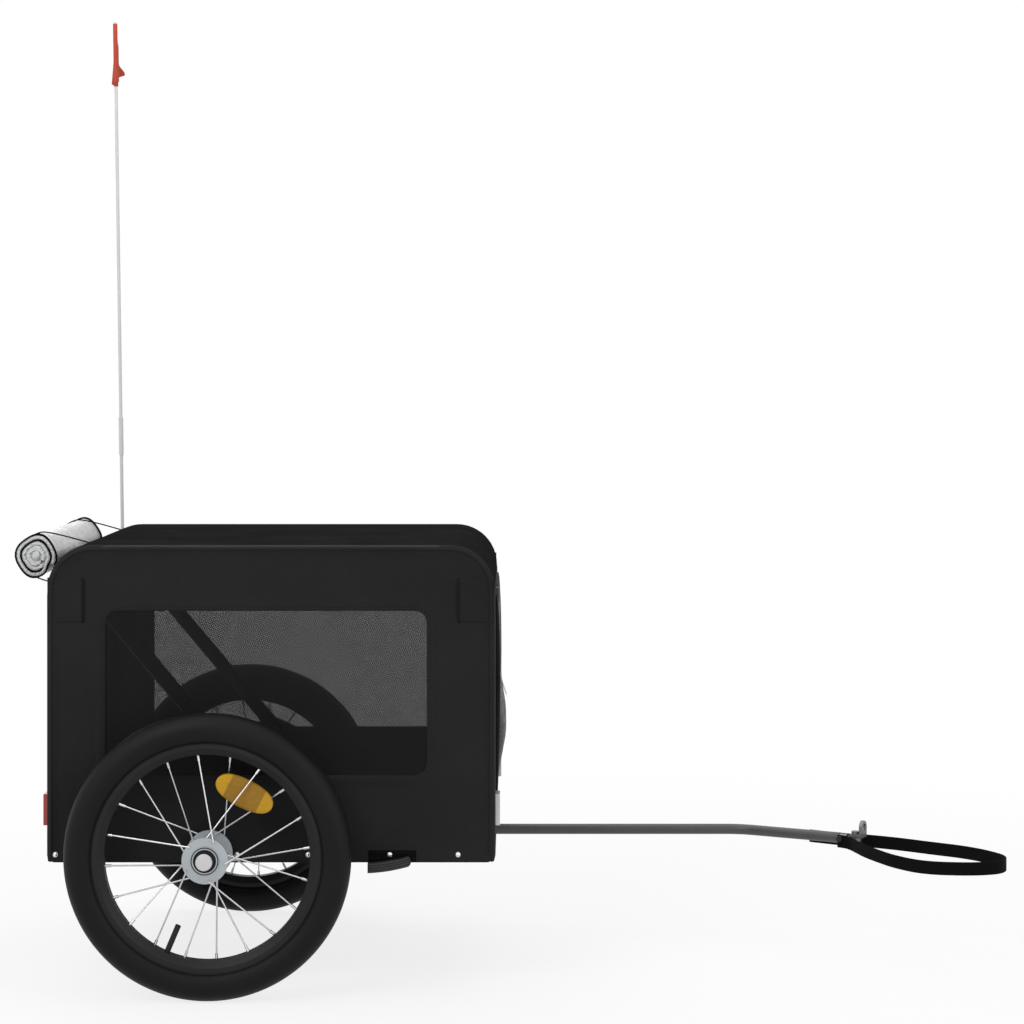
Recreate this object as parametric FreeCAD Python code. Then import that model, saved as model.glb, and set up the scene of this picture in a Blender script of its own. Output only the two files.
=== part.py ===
"""Dog bike trailer: a fabric cabin on a bolted floor frame, with two quick-release wheels and a tow bar.

Lengths are millimetres and angles are degrees. The pieces are modelled with X forward from the axle, Y to
the left and Z up from the ground, and moved along X on export so that the origin is under the middle.
"""

import FreeCAD
import Part
import math
import os

V = FreeCAD.Vector
UP = V(0, 0, 1)
LEFT = V(0, 1, 0)
FORWARD = V(1, 0, 0)
SIDES = {"right": -1, "left": 1}

# Clearances
RUNNING_GAP = 0.05
SEAT_GAP = 0.3
OVERRUN = 5.0

# Wheels
WHEEL_DIAMETER = 400.0
TRACK = 646.0
WHEEL_CLEARANCE = 29.5
TYRE_SECTION = 47.0
TYRE_WALL = 3.0
TYRE_MOUTH = 20.0
TUBE_GAP = 0.5
TUBE_WALL = 1.5
RIM_SINK = 0.5
RIM_LIP = 8.0
RIM_DEPTH = 9.5
RIM_WIDTH = 30.0
RIM_FLANGE = 2.0
RIM_CROWN_WIDTH = 16.0
HUB_FLANGE_DIAMETER = 64.0
HUB_FLANGE_SPACING = 64.0
HUB_FLANGE = 3.0
HUB_SHELL_DIAMETER = 39.0
HUB_END = 3.5
HUB_CORE_DIAMETER = 25.0
BEARING_DIAMETER = 32.0
BEARING_WIDTH = 10.0
BEARING_GROOVE = 0.8
BEARING_RACE = 4.0
SPOKE_DIAMETER = 2.3
SPOKE_COUNT = 20
SPOKE_CIRCLE_DIAMETER = 56.0
SPOKE_LEAN = 31.0
SPOKE_TURN = 5.2
SPOKE_STANDOFF = 1.5
SPOKE_RIM_OFFSET = 3.0
NIPPLE_DIAMETER = 4.0
NIPPLE_LENGTH = 9.0
VALVE_DIAMETER = 8.0
VALVE_LENGTH = 40.0
VALVE_ANGLE = 247.0
WHEEL_REFLECTOR_LENGTH = 86.0
WHEEL_REFLECTOR_HEIGHT = 40.0
WHEEL_REFLECTOR_THICKNESS = 12.2
WHEEL_REFLECTOR_INSET = 41.0
WHEEL_REFLECTOR_ANGLE = 59.6
WHEEL_REFLECTOR_TILT = -27.0

# Axles
AXLE_DIAMETER = 12.0
AXLE_GRIP = 86.0
AXLE_COLLAR_DIAMETER = 27.0
AXLE_COLLAR = 3.0
SPACER_DIAMETER = 18.0
BUTTON_DIAMETER = 23.2
BUTTON_CAP = 4.5
BUTTON_STEM_DIAMETER = 7.0
BUTTON_STEM = 30.0
BUTTON_TRAVEL = 3.0
RECEIVER_DIAMETER = 20.0
RECEIVER_OVERHANG = 6.0
RECEIVER_GRIP = 66.0
BEAM_DIAMETER = 24.0

# Cabin
CABIN_REAR = 232.0
CABIN_FRONT = 399.0
CABIN_BOTTOM = 183.0
CABIN_TOP = 630.0
CABIN_TOP_RADIUS = 64.0
CABIN_FOOT_RADIUS = 8.0
FABRIC = 2.0
WINDOW_REAR = 149.0
WINDOW_FRONT = 303.0
WINDOW_BOTTOM = 306.0
WINDOW_TOP = 537.0
WINDOW_RADIUS = 17.0
MESH = 0.6
PATCH_LENGTH = 52.0
PATCH_HEIGHT = 64.0
PATCH_TOP_DROP = 46.0
PATCH = 2.0
DOOR_BOTTOM = 244.0
DOOR_TOP = 546.0
DOOR_RADIUS = 30.0

# Front cover
COVER_LAP = 10.0
COVER_CLEARANCE = 10.0
COVER_BOTTOM = 250.0
COVER_TOP = 558.0
COVER_BULGE = 14.0
COVER_SHEET = 2.0
COVER_BINDING = 14.0
SLIDER_LENGTH = 21.0
SLIDER_WIDTH = 7.0
SLIDER_DEPTH = 5.0
SLIDER_BOTTOM = 545.0
SLIDER_INSET = 4.6

# Rolled rear cover
ROLL_DIAMETER = 65.0
ROLL_OVERHANG = 8.0
ROLL_RISE_ANGLE = 27.4
ROLL_SHEET = 5.0
ROLL_TURN_GAP = 1.0
ROLL_HALF_TURNS = 6
TIE_DIAMETER = 1.6
TIE_INSET = 55.0
TIE_TOP_ANGLE = 108.0
TIE_FOOT_ANGLE = 179.0

# Corner reflectors
REFLECTOR_WIDTH = 34.0
REFLECTOR_BOTTOM = 233.0
REFLECTOR_TOP = 277.0
REFLECTOR = 7.0
REFLECTOR_INSET = 12.0

# Floor frame
RAIL_WIDTH = 20.0
RAIL_HEIGHT = 32.0
RAIL_WALL = 1.5
MEMBER_WIDTH = 18.0
MEMBER_HEIGHT = 18.0
MEMBER_WALL = 2.0
MEMBER_END = 30.0
MEMBER_DROP = 6.0
FORWARD_REACHES = (36.0, 136.0, 251.0, 347.0)
BOLT_DIAMETER = 6.0
BOLT_HEAD_DIAMETER = 9.0
BOLT_HEAD = 3.6
BOLT_LENGTH = 42.0
BOARD = 5.0
BOARD_LAP = 14.0
BOARD_NOTCH = 1.0
MAT = 26.0
MAT_MARGIN = 16.0
MAT_DRAW_IN = 5.0
MAT_EDGE = 4.0
MAT_CROWN = 30.0
MAT_LEVEL_SHARES = (0.0, 0.35, 0.75, 1.0)

# Cabin frame
HOOP_DIAMETER = 20.0
HOOP_WALL = 1.5
SPIGOT_DIAMETER = 16.0
SPIGOT_LENGTH = 62.0
SPIGOT_DEPTH = 28.0
BRACE_DIAMETER = 22.0
BRACE_WALL = 1.5
BRACE_FOOT = 121.0
BRACE_HEAD_ANGLE = 135.0
TOP_BAR_DIAMETER = 16.0
TOP_BAR_WALL = 1.2
TOP_BAR_REACHES = (-150.0, 317.0)

# Tow bar and hitch
BAR_DIAMETER = 16.0
BAR_WALL = 1.5
BAR_INSET = 105.0
BAR_TAIL = 60.0
BAR_BEND = 779.0
BAR_BEND_RADIUS = 90.0
BAR_BEND_ANGLE = 29.0
BAR_NOSE = 168.0
TONGUE_LENGTH = 35.0
TONGUE_NECK = 9.0
TONGUE_GRIP = 30.0
TONGUE_WIDTH = 18.0
TONGUE = 6.0
EYE_WIDTH = 20.0
EYE_PLATE = 5.0
EYE_FOOT = 14.0
EYE_HEIGHT = 16.0
EYE_HOLE_DIAMETER = 11.0
HITCH_BOLT_DIAMETER = 8.0
HITCH_HEAD_DIAMETER = 13.0
HITCH_HEAD = 4.0
GUIDE_LENGTH = 30.0
GUIDE_WIDTH = 34.0
GUIDE_FOOT = 8.0
GUIDE_ROOF = 18.0
KNOB_DIAMETER = 32.0
KNOB_HEIGHT = 14.0
KNOB_LOBES = 5
KNOB_LOBE_DIAMETER = 11.0
KNOB_NECK = 6.0
KNOB_SCREW_DIAMETER = 8.0
STRAP_WIDTH = 20.0
STRAP = 2.0
STRAP_PLAY = 2.5
STRAP_SAG = 4.0
STRAP_DROP_ANGLE = 1.6
STRAP_ARC_SHARE = 0.45
STRAP_BOLT_DIAMETER = 5.0
STRAP_BOLT_HEAD_DIAMETER = 9.0
STRAP_BOLT_HEAD = 3.0
STRAP_BOLT_PLACE = 172.7
# The strap's route in plan from the tow bar's bend, from its far end on the bar round to its near end
STRAP_ROUTE = (
    (104.3, -47.0), (129.0, -60.7), (159.8, -76.7), (182.4, -78.5), (233.0, -101.0), (281.0, -134.0),
    (321.0, -157.0), (353.0, -191.0), (376.0, -238.0), (364.0, -278.0), (336.0, -298.0), (296.0, -308.0),
    (242.0, -305.0), (207.0, -263.0), (188.0, -217.0), (172.5, -173.0), (165.0, -137.0), (158.2, -106.5),
    (151.4, -96.1), (142.6, -89.8),
)

# Flag
POLE_DIAMETER = 5.4
POLE_REAR = 195.3
POLE_OFFSET = 8.0
POLE_FOOT = 192.0
POLE_TOP = 1433.0
POLE_LEAN = 0.83
POLE_JOINT = 770.0
FERRULE_LENGTH = 60.0
FERRULE_WALL = 1.0
HOLDER_LENGTH = 30.0
HOLDER_DEPTH = 14.0
HOLDER_BOTTOM = 184.0
HOLDER_TOP_BOTTOM = 470.0
PENNANT_HEIGHT = 100.0
PENNANT_FLY = 86.0
PENNANT = 0.8
PENNANT_WAVE = 7.0
PENNANT_SLEEVE = 1.2
PENNANT_TIP_SHARE = 0.3
PENNANT_TOP_GAP = 2.0

# Parking stand
STAND_PIVOT_DROP = 7.0
STAND_SHOE_OVERHANG = 18.0
STAND_EAR = 4.0
STAND_EAR_GAP = 16.0
STAND_EAR_WIDTH = 20.0
STAND_PIN_DIAMETER = 5.0
STAND_PIN_HEAD = 3.0
STAND_PIN_HEAD_DIAMETER = 9.0
STAND_LEG_DIAMETER = 8.0
STAND_EYE_WIDTH = 15.4
SHOE_LENGTH = 61.0
SHOE_HEIGHT = 13.5
SHOE_DEPTH = 14.0
SHOE_DROP = 7.3
SHOE_RISE = 8.9
SHOE_NOSE = 4.5
SHOE_SAG_SHARE = 0.3

# Sizes that follow from the ones above
WHEEL_RADIUS = WHEEL_DIAMETER / 2
HALF_TRACK = TRACK / 2
TYRE_RING = WHEEL_RADIUS - TYRE_SECTION / 2
RIM_SEAT_DIAMETER = WHEEL_DIAMETER - 2 * TYRE_SECTION - 2 * RIM_SINK
RIM_FLANGE_DIAMETER = RIM_SEAT_DIAMETER + 2 * RIM_LIP
RIM_INNER_DIAMETER = RIM_SEAT_DIAMETER - 2 * RIM_DEPTH
WHEEL_REFLECTOR_RADIUS = RIM_INNER_DIAMETER / 2 - WHEEL_REFLECTOR_INSET
HUB_HALF = HUB_FLANGE_SPACING / 2 + HUB_FLANGE / 2 + HUB_END
CABIN_WIDTH = TRACK - TYRE_SECTION - 2 * WHEEL_CLEARANCE
HALF_CABIN = CABIN_WIDTH / 2
PANEL_INSIDE = HALF_CABIN - FABRIC
COVER_WIDTH = 2 * (PANEL_INSIDE - REFLECTOR_INSET - REFLECTOR_WIDTH - COVER_CLEARANCE)
DOOR_WIDTH = COVER_WIDTH - 2 * COVER_LAP
ROLL_LENGTH = COVER_WIDTH + 2 * ROLL_OVERHANG
TIE_SPACING = ROLL_LENGTH - 2 * TIE_INSET
RAIL_BOTTOM = WHEEL_RADIUS - RAIL_HEIGHT / 2
RAIL_TOP = WHEEL_RADIUS + RAIL_HEIGHT / 2
RAIL_INSIDE = PANEL_INSIDE - RAIL_WIDTH
MEMBER_HEIGHT_MIDDLE = WHEEL_RADIUS - MEMBER_DROP
MEMBER_FOOT = MEMBER_HEIGHT_MIDDLE - MEMBER_HEIGHT / 2
BAR_HEIGHT = MEMBER_FOOT - GUIDE_ROOF - BAR_DIAMETER / 2
STAND_PIVOT_HEIGHT = MEMBER_FOOT - STAND_PIVOT_DROP
STAND_PIVOT_SIDE = HALF_CABIN + STAND_SHOE_OVERHANG - STAND_PIVOT_HEIGHT
HOOP_SIDE = PANEL_INSIDE - HOOP_DIAMETER / 2 - SEAT_GAP
HOOP_INSET = FABRIC + SEAT_GAP + HOOP_DIAMETER / 2
HOOP_TOP = CABIN_TOP - HOOP_INSET
HOOP_RADIUS = CABIN_TOP_RADIUS - HOOP_INSET
HOOP_REAR = -CABIN_REAR + HOOP_INSET
HOOP_FRONT = CABIN_FRONT - HOOP_INSET
MEMBER_REACHES = (HOOP_REAR,) + FORWARD_REACHES
GUIDE_REACHES = (MEMBER_REACHES[2], MEMBER_REACHES[4])
STAND_REACH = MEMBER_REACHES[3]
RECEIVER_END = HALF_CABIN + RECEIVER_OVERHANG
AXLE_TIP = RECEIVER_END - AXLE_GRIP
BAR_SIDE = HALF_CABIN - BAR_INSET
BAR_DIRECTION = V(math.cos(math.radians(BAR_BEND_ANGLE)), -math.sin(math.radians(BAR_BEND_ANGLE)), 0)
BAR_SIDEWAYS = V(math.sin(math.radians(BAR_BEND_ANGLE)), math.cos(math.radians(BAR_BEND_ANGLE)), 0)
BAR_CORNER = V(BAR_BEND, BAR_SIDE, BAR_HEIGHT)
BAR_END = BAR_CORNER + BAR_DIRECTION * BAR_NOSE
HITCH_PIVOT = BAR_END + BAR_DIRECTION * (TONGUE_LENGTH - TONGUE_WIDTH / 2)
TONGUE_TIP = BAR_END + BAR_DIRECTION * TONGUE_LENGTH
POLE_SIDE = HALF_CABIN + POLE_OFFSET
ROLL_REACH = CABIN_TOP_RADIUS + ROLL_DIAMETER / 2 + SEAT_GAP
ROLL_CENTRE = V(
    -CABIN_REAR + CABIN_TOP_RADIUS - ROLL_REACH * math.cos(math.radians(ROLL_RISE_ANGLE)),
    0,
    CABIN_TOP - CABIN_TOP_RADIUS + ROLL_REACH * math.sin(math.radians(ROLL_RISE_ANGLE)),
)
REAR_END = ROLL_CENTRE.x - ROLL_DIAMETER / 2 - SEAT_GAP - TIE_DIAMETER
FRONT_END = (
    HITCH_PIVOT + BAR_DIRECTION * (TONGUE_WIDTH / 2 + EYE_PLATE) + BAR_SIDEWAYS * (EYE_WIDTH / 2)
).x
AXLE_X = -(REAR_END + FRONT_END) / 2


def save(name, *solids):
    """Write one node, with its solids moved to the part's own origin."""
    shape = solids[0] if len(solids) == 1 else Part.makeCompound(list(solids))
    moved = shape.copy()
    moved.translate(V(AXLE_X, 0, 0))
    for solid in moved.Solids:
        if not solid.isValid():
            print("not valid:", name)
    moved.exportStep("parts/" + name + ".step")


def box(x0, x1, y0, y1, z0, z1):
    return Part.makeBox(x1 - x0, y1 - y0, z1 - z0, V(x0, y0, z0))


def rod(diameter, start, end):
    return Part.makeCylinder(diameter / 2, (end - start).Length, start, end - start)


def sleeve(outer, inner, start, end):
    """A round tube between two points."""
    overrun = (end - start).normalize() * OVERRUN
    return rod(outer, start, end).cut(rod(inner, start - overrun, end + overrun))


def rounded_plate(x0, x1, z0, z1, foot_radius, top_radius, y0, y1):
    """An upright plate along X, with its own radius at the feet and at the top corners."""
    corners = (
        (x0, z0, foot_radius, 180, 270),
        (x1, z0, foot_radius, 270, 360),
        (x1, z1, top_radius, 0, 90),
        (x0, z1, top_radius, 90, 180),
    )
    arcs = []
    for x, z, radius, first, last in corners:
        centre = V(x + (radius if x == x0 else -radius), y0, z + (radius if z == z0 else -radius))
        turn = [math.radians(angle) for angle in (first, (first + last) / 2, last)]
        arcs.append([centre + V(math.cos(a), 0, math.sin(a)) * radius for a in turn])
    edges = []
    for arc, following in zip(arcs, arcs[1:] + arcs[:1]):
        edges.append(Part.Arc(*arc).toShape())
        edges.append(Part.makeLine(arc[2], following[0]))
    return Part.Face(Part.Wire(edges)).extrude(V(0, y1 - y0, 0))


def cabin_block(inset, y0, y1):
    """The cabin's side outline, drawn in by an inset, as a solid between two places across the cabin."""
    return rounded_plate(
        -CABIN_REAR + inset, CABIN_FRONT - inset, CABIN_BOTTOM, CABIN_TOP - inset,
        CABIN_FOOT_RADIUS, CABIN_TOP_RADIUS - inset, y0, y1,
    )


def swept(diameter, edges):
    """A round bar along a smooth run of edges."""
    path = Part.Wire(edges)
    start = edges[0].valueAt(edges[0].FirstParameter)
    along = edges[0].tangentAt(edges[0].FirstParameter)
    section = Part.Wire([Part.makeCircle(diameter / 2, start, along)])
    return path.makePipeShell([section], True, True)


def rounded_route(points, radii):
    """Straight runs joined by tangent arcs, as a list of edges."""
    edges = []
    start = points[0]
    for before, corner, after, radius in zip(points, points[1:], points[2:], radii):
        back = (before - corner).normalize()
        ahead = (after - corner).normalize()
        half_turn = (math.pi - back.getAngle(ahead)) / 2
        reach = radius * math.tan(half_turn)
        inward = (back + ahead).normalize()
        middle = corner + inward * (radius / math.cos(half_turn) - radius)
        first = corner + back * reach
        last = corner + ahead * reach
        edges.append(Part.makeLine(start, first))
        edges.append(Part.Arc(first, middle, last).toShape())
        start = last
    edges.append(Part.makeLine(start, points[-1]))
    return edges


def turned(profile, y_middle):
    """A ring about the axle from a closed profile of (across, radius) points."""
    points = [V(0, y_middle + across, WHEEL_RADIUS + radius) for across, radius in profile]
    face = Part.Face(Part.makePolygon(points + points[:1]))
    return face.revolve(V(0, y_middle, WHEEL_RADIUS), LEFT, 360)


def on_wheel(radius, angle, across, y_middle):
    """A point of a wheel, by its angle up from forward and its place across the wheel."""
    turn = math.radians(angle)
    return V(radius * math.cos(turn), y_middle + across, WHEEL_RADIUS + radius * math.sin(turn))


def make_tyre(y_middle):
    wheel_middle = V(0, y_middle, WHEEL_RADIUS)
    wall = Part.makeTorus(TYRE_RING, TYRE_SECTION / 2, wheel_middle, LEFT)
    wall = wall.cut(Part.makeTorus(TYRE_RING, TYRE_SECTION / 2 - TYRE_WALL, wheel_middle, LEFT))
    mouth = sleeve(
        2 * TYRE_RING, 2 * (TYRE_RING - TYRE_SECTION),
        wheel_middle - LEFT * (TYRE_MOUTH / 2), wheel_middle + LEFT * (TYRE_MOUTH / 2),
    )
    seat_half = RIM_WIDTH / 2 + SEAT_GAP
    seat = rod(
        RIM_FLANGE_DIAMETER + 2 * SEAT_GAP,
        wheel_middle - LEFT * seat_half, wheel_middle + LEFT * seat_half,
    )
    seat_core = rod(
        RIM_FLANGE_DIAMETER + 2 * SEAT_GAP,
        wheel_middle - LEFT * (seat_half - RIM_FLANGE - 2 * SEAT_GAP),
        wheel_middle + LEFT * (seat_half - RIM_FLANGE - 2 * SEAT_GAP),
    )
    return wall.cut(mouth).cut(seat.cut(seat_core))


def make_inner_tube(y_middle):
    """A hollow ring with a hole at its inner side for the valve."""
    section = TYRE_SECTION / 2 - TYRE_WALL - TUBE_GAP
    wheel_middle = V(0, y_middle, WHEEL_RADIUS)
    tube = Part.makeTorus(TYRE_RING, section, wheel_middle, LEFT)
    tube = tube.cut(Part.makeTorus(TYRE_RING, section - TUBE_WALL, wheel_middle, LEFT))
    return tube.cut(rod(
        VALVE_DIAMETER, on_wheel(TYRE_RING - TYRE_SECTION, VALVE_ANGLE, 0, y_middle),
        on_wheel(TYRE_RING, VALVE_ANGLE, 0, y_middle),
    ))


def make_rim(y_middle):
    half = RIM_WIDTH / 2
    seat = RIM_SEAT_DIAMETER / 2
    flange = RIM_FLANGE_DIAMETER / 2
    inner = RIM_INNER_DIAMETER / 2
    crown = RIM_CROWN_WIDTH / 2
    profile = [
        (-half, flange), (-half + RIM_FLANGE, flange), (-half + RIM_FLANGE, seat),
        (half - RIM_FLANGE, seat), (half - RIM_FLANGE, flange), (half, flange),
        (half, seat), (crown, inner), (-crown, inner), (-half, seat),
    ]
    return turned(profile, y_middle)


def make_hub(y_middle):
    flange = HUB_FLANGE_DIAMETER / 2
    shell = HUB_SHELL_DIAMETER / 2
    core = HUB_CORE_DIAMETER / 2
    seat = BEARING_DIAMETER / 2 + RUNNING_GAP
    inner_face = HUB_FLANGE_SPACING / 2 - HUB_FLANGE / 2
    outer_face = HUB_FLANGE_SPACING / 2 + HUB_FLANGE / 2
    shoulder = HUB_HALF - BEARING_WIDTH
    half_profile = [
        (0, shell), (inner_face, shell), (inner_face, flange), (outer_face, flange), (outer_face, shell),
        (HUB_HALF, shell), (HUB_HALF, seat), (shoulder, seat), (shoulder, core), (0, core),
    ]
    halves = [
        turned([(side * across, radius) for across, radius in half_profile], y_middle)
        for side in (-1, 1)
    ]
    return halves[0].fuse(halves[1]).removeSplitter()


def make_bearings(y_middle):
    bore = AXLE_DIAMETER / 2 + RUNNING_GAP
    outer = BEARING_DIAMETER / 2
    shield_out = outer - BEARING_RACE / 2
    shield_in = bore + BEARING_RACE / 2
    bearings = []
    for side in (-1, 1):
        face = HUB_HALF
        back = HUB_HALF - BEARING_WIDTH
        profile = [
            (back, bore), (back, outer), (face, outer), (face, shield_out),
            (face - BEARING_GROOVE, shield_out), (face - BEARING_GROOVE, shield_in),
            (face, shield_in), (face, bore),
        ]
        bearings.append(turned([(side * across, radius) for across, radius in profile], y_middle))
    return bearings


def rim_bore(y_middle):
    """The round space inside the rim, as a cutter."""
    half = LEFT * RIM_WIDTH
    middle = V(0, y_middle, WHEEL_RADIUS)
    return rod(RIM_INNER_DIAMETER, middle - half, middle + half)


def make_spokes(y_middle):
    """Crossed spokes, by turns outside and inside each hub flange, with their nipples."""
    rim_radius = RIM_INNER_DIAMETER / 2
    step = 360 / SPOKE_COUNT
    out_face = HUB_FLANGE_SPACING / 2 + HUB_FLANGE / 2 + SPOKE_DIAMETER / 2 + SPOKE_STANDOFF
    in_face = HUB_FLANGE_SPACING / 2 - HUB_FLANGE / 2 - SPOKE_DIAMETER / 2 - SEAT_GAP
    pieces = []
    for number in range(SPOKE_COUNT):
        side = -1 if number % 2 else 1
        trailing = number // 2 % 2
        lean = SPOKE_LEAN if trailing else -SPOKE_LEAN
        rim_angle = SPOKE_TURN + number * step
        hub_point = on_wheel(
            SPOKE_CIRCLE_DIAMETER / 2, rim_angle + lean, side * (in_face if trailing else out_face), y_middle,
        )
        rim_point = on_wheel(rim_radius, rim_angle, side * SPOKE_RIM_OFFSET, y_middle)
        along = (rim_point - hub_point).normalize()
        shoulder = rim_point - along * NIPPLE_LENGTH
        pieces.append(rod(SPOKE_DIAMETER, hub_point, shoulder))
        nipple = rod(NIPPLE_DIAMETER, shoulder, rim_point + along * NIPPLE_DIAMETER)
        pieces.append(nipple.common(rim_bore(y_middle)))
    return pieces


def make_valve(y_middle):
    foot = on_wheel(RIM_INNER_DIAMETER / 2, VALVE_ANGLE, 0, y_middle)
    top = on_wheel(RIM_INNER_DIAMETER / 2 - VALVE_LENGTH, VALVE_ANGLE, 0, y_middle)
    stem = rod(VALVE_DIAMETER, foot + (foot - top).normalize() * VALVE_DIAMETER, top)
    return stem.common(rim_bore(y_middle))


def make_wheel_reflector(y_middle):
    """A lens-shaped plate between the two layers of spokes."""
    half_length = WHEEL_REFLECTOR_LENGTH / 2
    half_height = WHEEL_REFLECTOR_HEIGHT / 2
    y = -WHEEL_REFLECTOR_THICKNESS / 2
    tips = (V(-half_length, y, 0), V(half_length, y, 0))
    edges = [
        Part.Arc(tips[0], V(0, y, half_height), tips[1]).toShape(),
        Part.Arc(tips[1], V(0, y, -half_height), tips[0]).toShape(),
    ]
    lens = Part.Face(Part.Wire(edges)).extrude(V(0, WHEEL_REFLECTOR_THICKNESS, 0))
    lens.rotate(V(0, 0, 0), LEFT, -WHEEL_REFLECTOR_TILT)
    lens.translate(on_wheel(WHEEL_REFLECTOR_RADIUS, WHEEL_REFLECTOR_ANGLE, 0, y_middle))
    return lens


def at_axle(side, across):
    return V(0, side * across, WHEEL_RADIUS)


def make_axle(side):
    """The quick-release axle with its outer collar, bored for the push button's stem, and its spacer ring."""
    collar_in = HALF_TRACK + HUB_HALF + SEAT_GAP
    collar_out = collar_in + AXLE_COLLAR
    shaft = rod(AXLE_DIAMETER, at_axle(side, AXLE_TIP), at_axle(side, collar_out))
    collar = rod(AXLE_COLLAR_DIAMETER, at_axle(side, collar_in), at_axle(side, collar_out))
    bore_end = collar_out - BUTTON_STEM - BUTTON_TRAVEL
    bore = rod(
        BUTTON_STEM_DIAMETER + 2 * RUNNING_GAP, at_axle(side, bore_end), at_axle(side, collar_out + OVERRUN),
    )
    spacer = sleeve(
        SPACER_DIAMETER, AXLE_DIAMETER + 2 * RUNNING_GAP,
        at_axle(side, RECEIVER_END + SEAT_GAP), at_axle(side, HALF_TRACK - HUB_HALF - SEAT_GAP),
    )
    return [shaft.fuse(collar).cut(bore).removeSplitter(), spacer]


def make_button(side):
    face = HALF_TRACK + HUB_HALF + SEAT_GAP + AXLE_COLLAR
    cap_in = face + BUTTON_TRAVEL + SEAT_GAP
    cap = rod(BUTTON_DIAMETER, at_axle(side, cap_in), at_axle(side, cap_in + BUTTON_CAP))
    edge = [e for e in cap.Edges if abs(e.CenterOfMass.y - side * (cap_in + BUTTON_CAP)) < SEAT_GAP]
    cap = cap.makeFillet(BUTTON_CAP / 3, edge)
    stem = rod(BUTTON_STEM_DIAMETER, at_axle(side, cap_in - BUTTON_STEM), at_axle(side, cap_in))
    return cap.fuse(stem).removeSplitter()


def make_wheels():
    for name, side in SIDES.items():
        middle = side * HALF_TRACK
        save(name + "_tyre", make_tyre(middle))
        save(name + "_inner_tube", make_inner_tube(middle))
        save(name + "_rim", make_rim(middle))
        save(name + "_hub", make_hub(middle))
        save(name + "_bearings", *make_bearings(middle))
        save(name + "_spokes", *make_spokes(middle))
        save(name + "_valve", make_valve(middle))
        save(name + "_wheel_reflector", make_wheel_reflector(middle))
        save(name + "_axle", *make_axle(side))
        save(name + "_axle_button", make_button(side))


def bolt_point(reach, side, across):
    return V(reach, side * across, MEMBER_HEIGHT_MIDDLE)


def bolt_holes(diameter):
    """Round cutters through each side of the cabin's foot, one at each frame bolt."""
    holes = []
    for side in SIDES.values():
        for reach in MEMBER_REACHES:
            holes.append(rod(
                diameter, bolt_point(reach, side, HALF_CABIN + OVERRUN),
                bolt_point(reach, side, HALF_CABIN - BOLT_LENGTH - OVERRUN),
            ))
    return holes


BOLT_HOLES = bolt_holes(BOLT_DIAMETER + 2 * RUNNING_GAP)


def axle_hole(side, diameter):
    return rod(diameter, at_axle(side, RAIL_INSIDE - OVERRUN), at_axle(side, HALF_CABIN + OVERRUN))


def hoop_feet(side, diameter, bottom, top):
    return [
        rod(diameter, V(reach, side * HOOP_SIDE, bottom), V(reach, side * HOOP_SIDE, top))
        for reach in (HOOP_REAR, HOOP_FRONT)
    ]


def make_rail(side):
    y_pair = sorted((side * RAIL_INSIDE, side * PANEL_INSIDE))
    ends = (-CABIN_REAR + FABRIC, CABIN_FRONT - FABRIC)
    rail = box(*ends, *y_pair, RAIL_BOTTOM, RAIL_TOP)
    hollow = box(
        ends[0] - OVERRUN, ends[1] + OVERRUN, y_pair[0] + RAIL_WALL, y_pair[1] - RAIL_WALL,
        RAIL_BOTTOM + RAIL_WALL, RAIL_TOP - RAIL_WALL,
    )
    rail = rail.cut(hollow).cut(axle_hole(side, RECEIVER_DIAMETER + 2 * RUNNING_GAP)).cut(BOLT_HOLES)
    return rail.cut(hoop_feet(side, SPIGOT_DIAMETER + 2 * RUNNING_GAP, WHEEL_RADIUS, RAIL_TOP + OVERRUN))


def make_cross_members():
    """Pressed channels, open below, whose closed ends take the frame bolts."""
    members = []
    top = MEMBER_HEIGHT_MIDDLE + MEMBER_HEIGHT / 2
    bottom = MEMBER_FOOT
    for reach in MEMBER_REACHES:
        half = MEMBER_WIDTH / 2
        member = box(reach - half, reach + half, -RAIL_INSIDE, RAIL_INSIDE, bottom, top)
        channel = box(
            reach - half + MEMBER_WALL, reach + half - MEMBER_WALL, -RAIL_INSIDE + MEMBER_END,
            RAIL_INSIDE - MEMBER_END, bottom - OVERRUN, top - MEMBER_WALL,
        )
        members.append(member.cut(channel).cut(BOLT_HOLES))
    return members


def make_frame_bolts():
    bolts = []
    for side in SIDES.values():
        for reach in MEMBER_REACHES:
            seat = bolt_point(reach, side, HALF_CABIN)
            outward = LEFT * side
            shank = rod(BOLT_DIAMETER, seat, seat - outward * BOLT_LENGTH)
            dome_radius = (BOLT_HEAD_DIAMETER ** 2 / 4 + BOLT_HEAD ** 2) / (2 * BOLT_HEAD)
            dome = Part.makeSphere(dome_radius, seat + outward * (BOLT_HEAD - dome_radius))
            head = dome.common(rod(BOLT_HEAD_DIAMETER, seat, seat + outward * BOLT_HEAD_DIAMETER))
            bolts.append(shank.fuse(head).removeSplitter())
    return bolts


def make_hoop(side):
    y = side * HOOP_SIDE
    points = [
        V(HOOP_REAR, y, RAIL_TOP), V(HOOP_REAR, y, HOOP_TOP),
        V(HOOP_FRONT, y, HOOP_TOP), V(HOOP_FRONT, y, RAIL_TOP),
    ]
    edges = rounded_route(points, [HOOP_RADIUS] * 2)
    return swept(HOOP_DIAMETER, edges).cut(swept(HOOP_DIAMETER - 2 * HOOP_WALL, edges))


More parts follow.
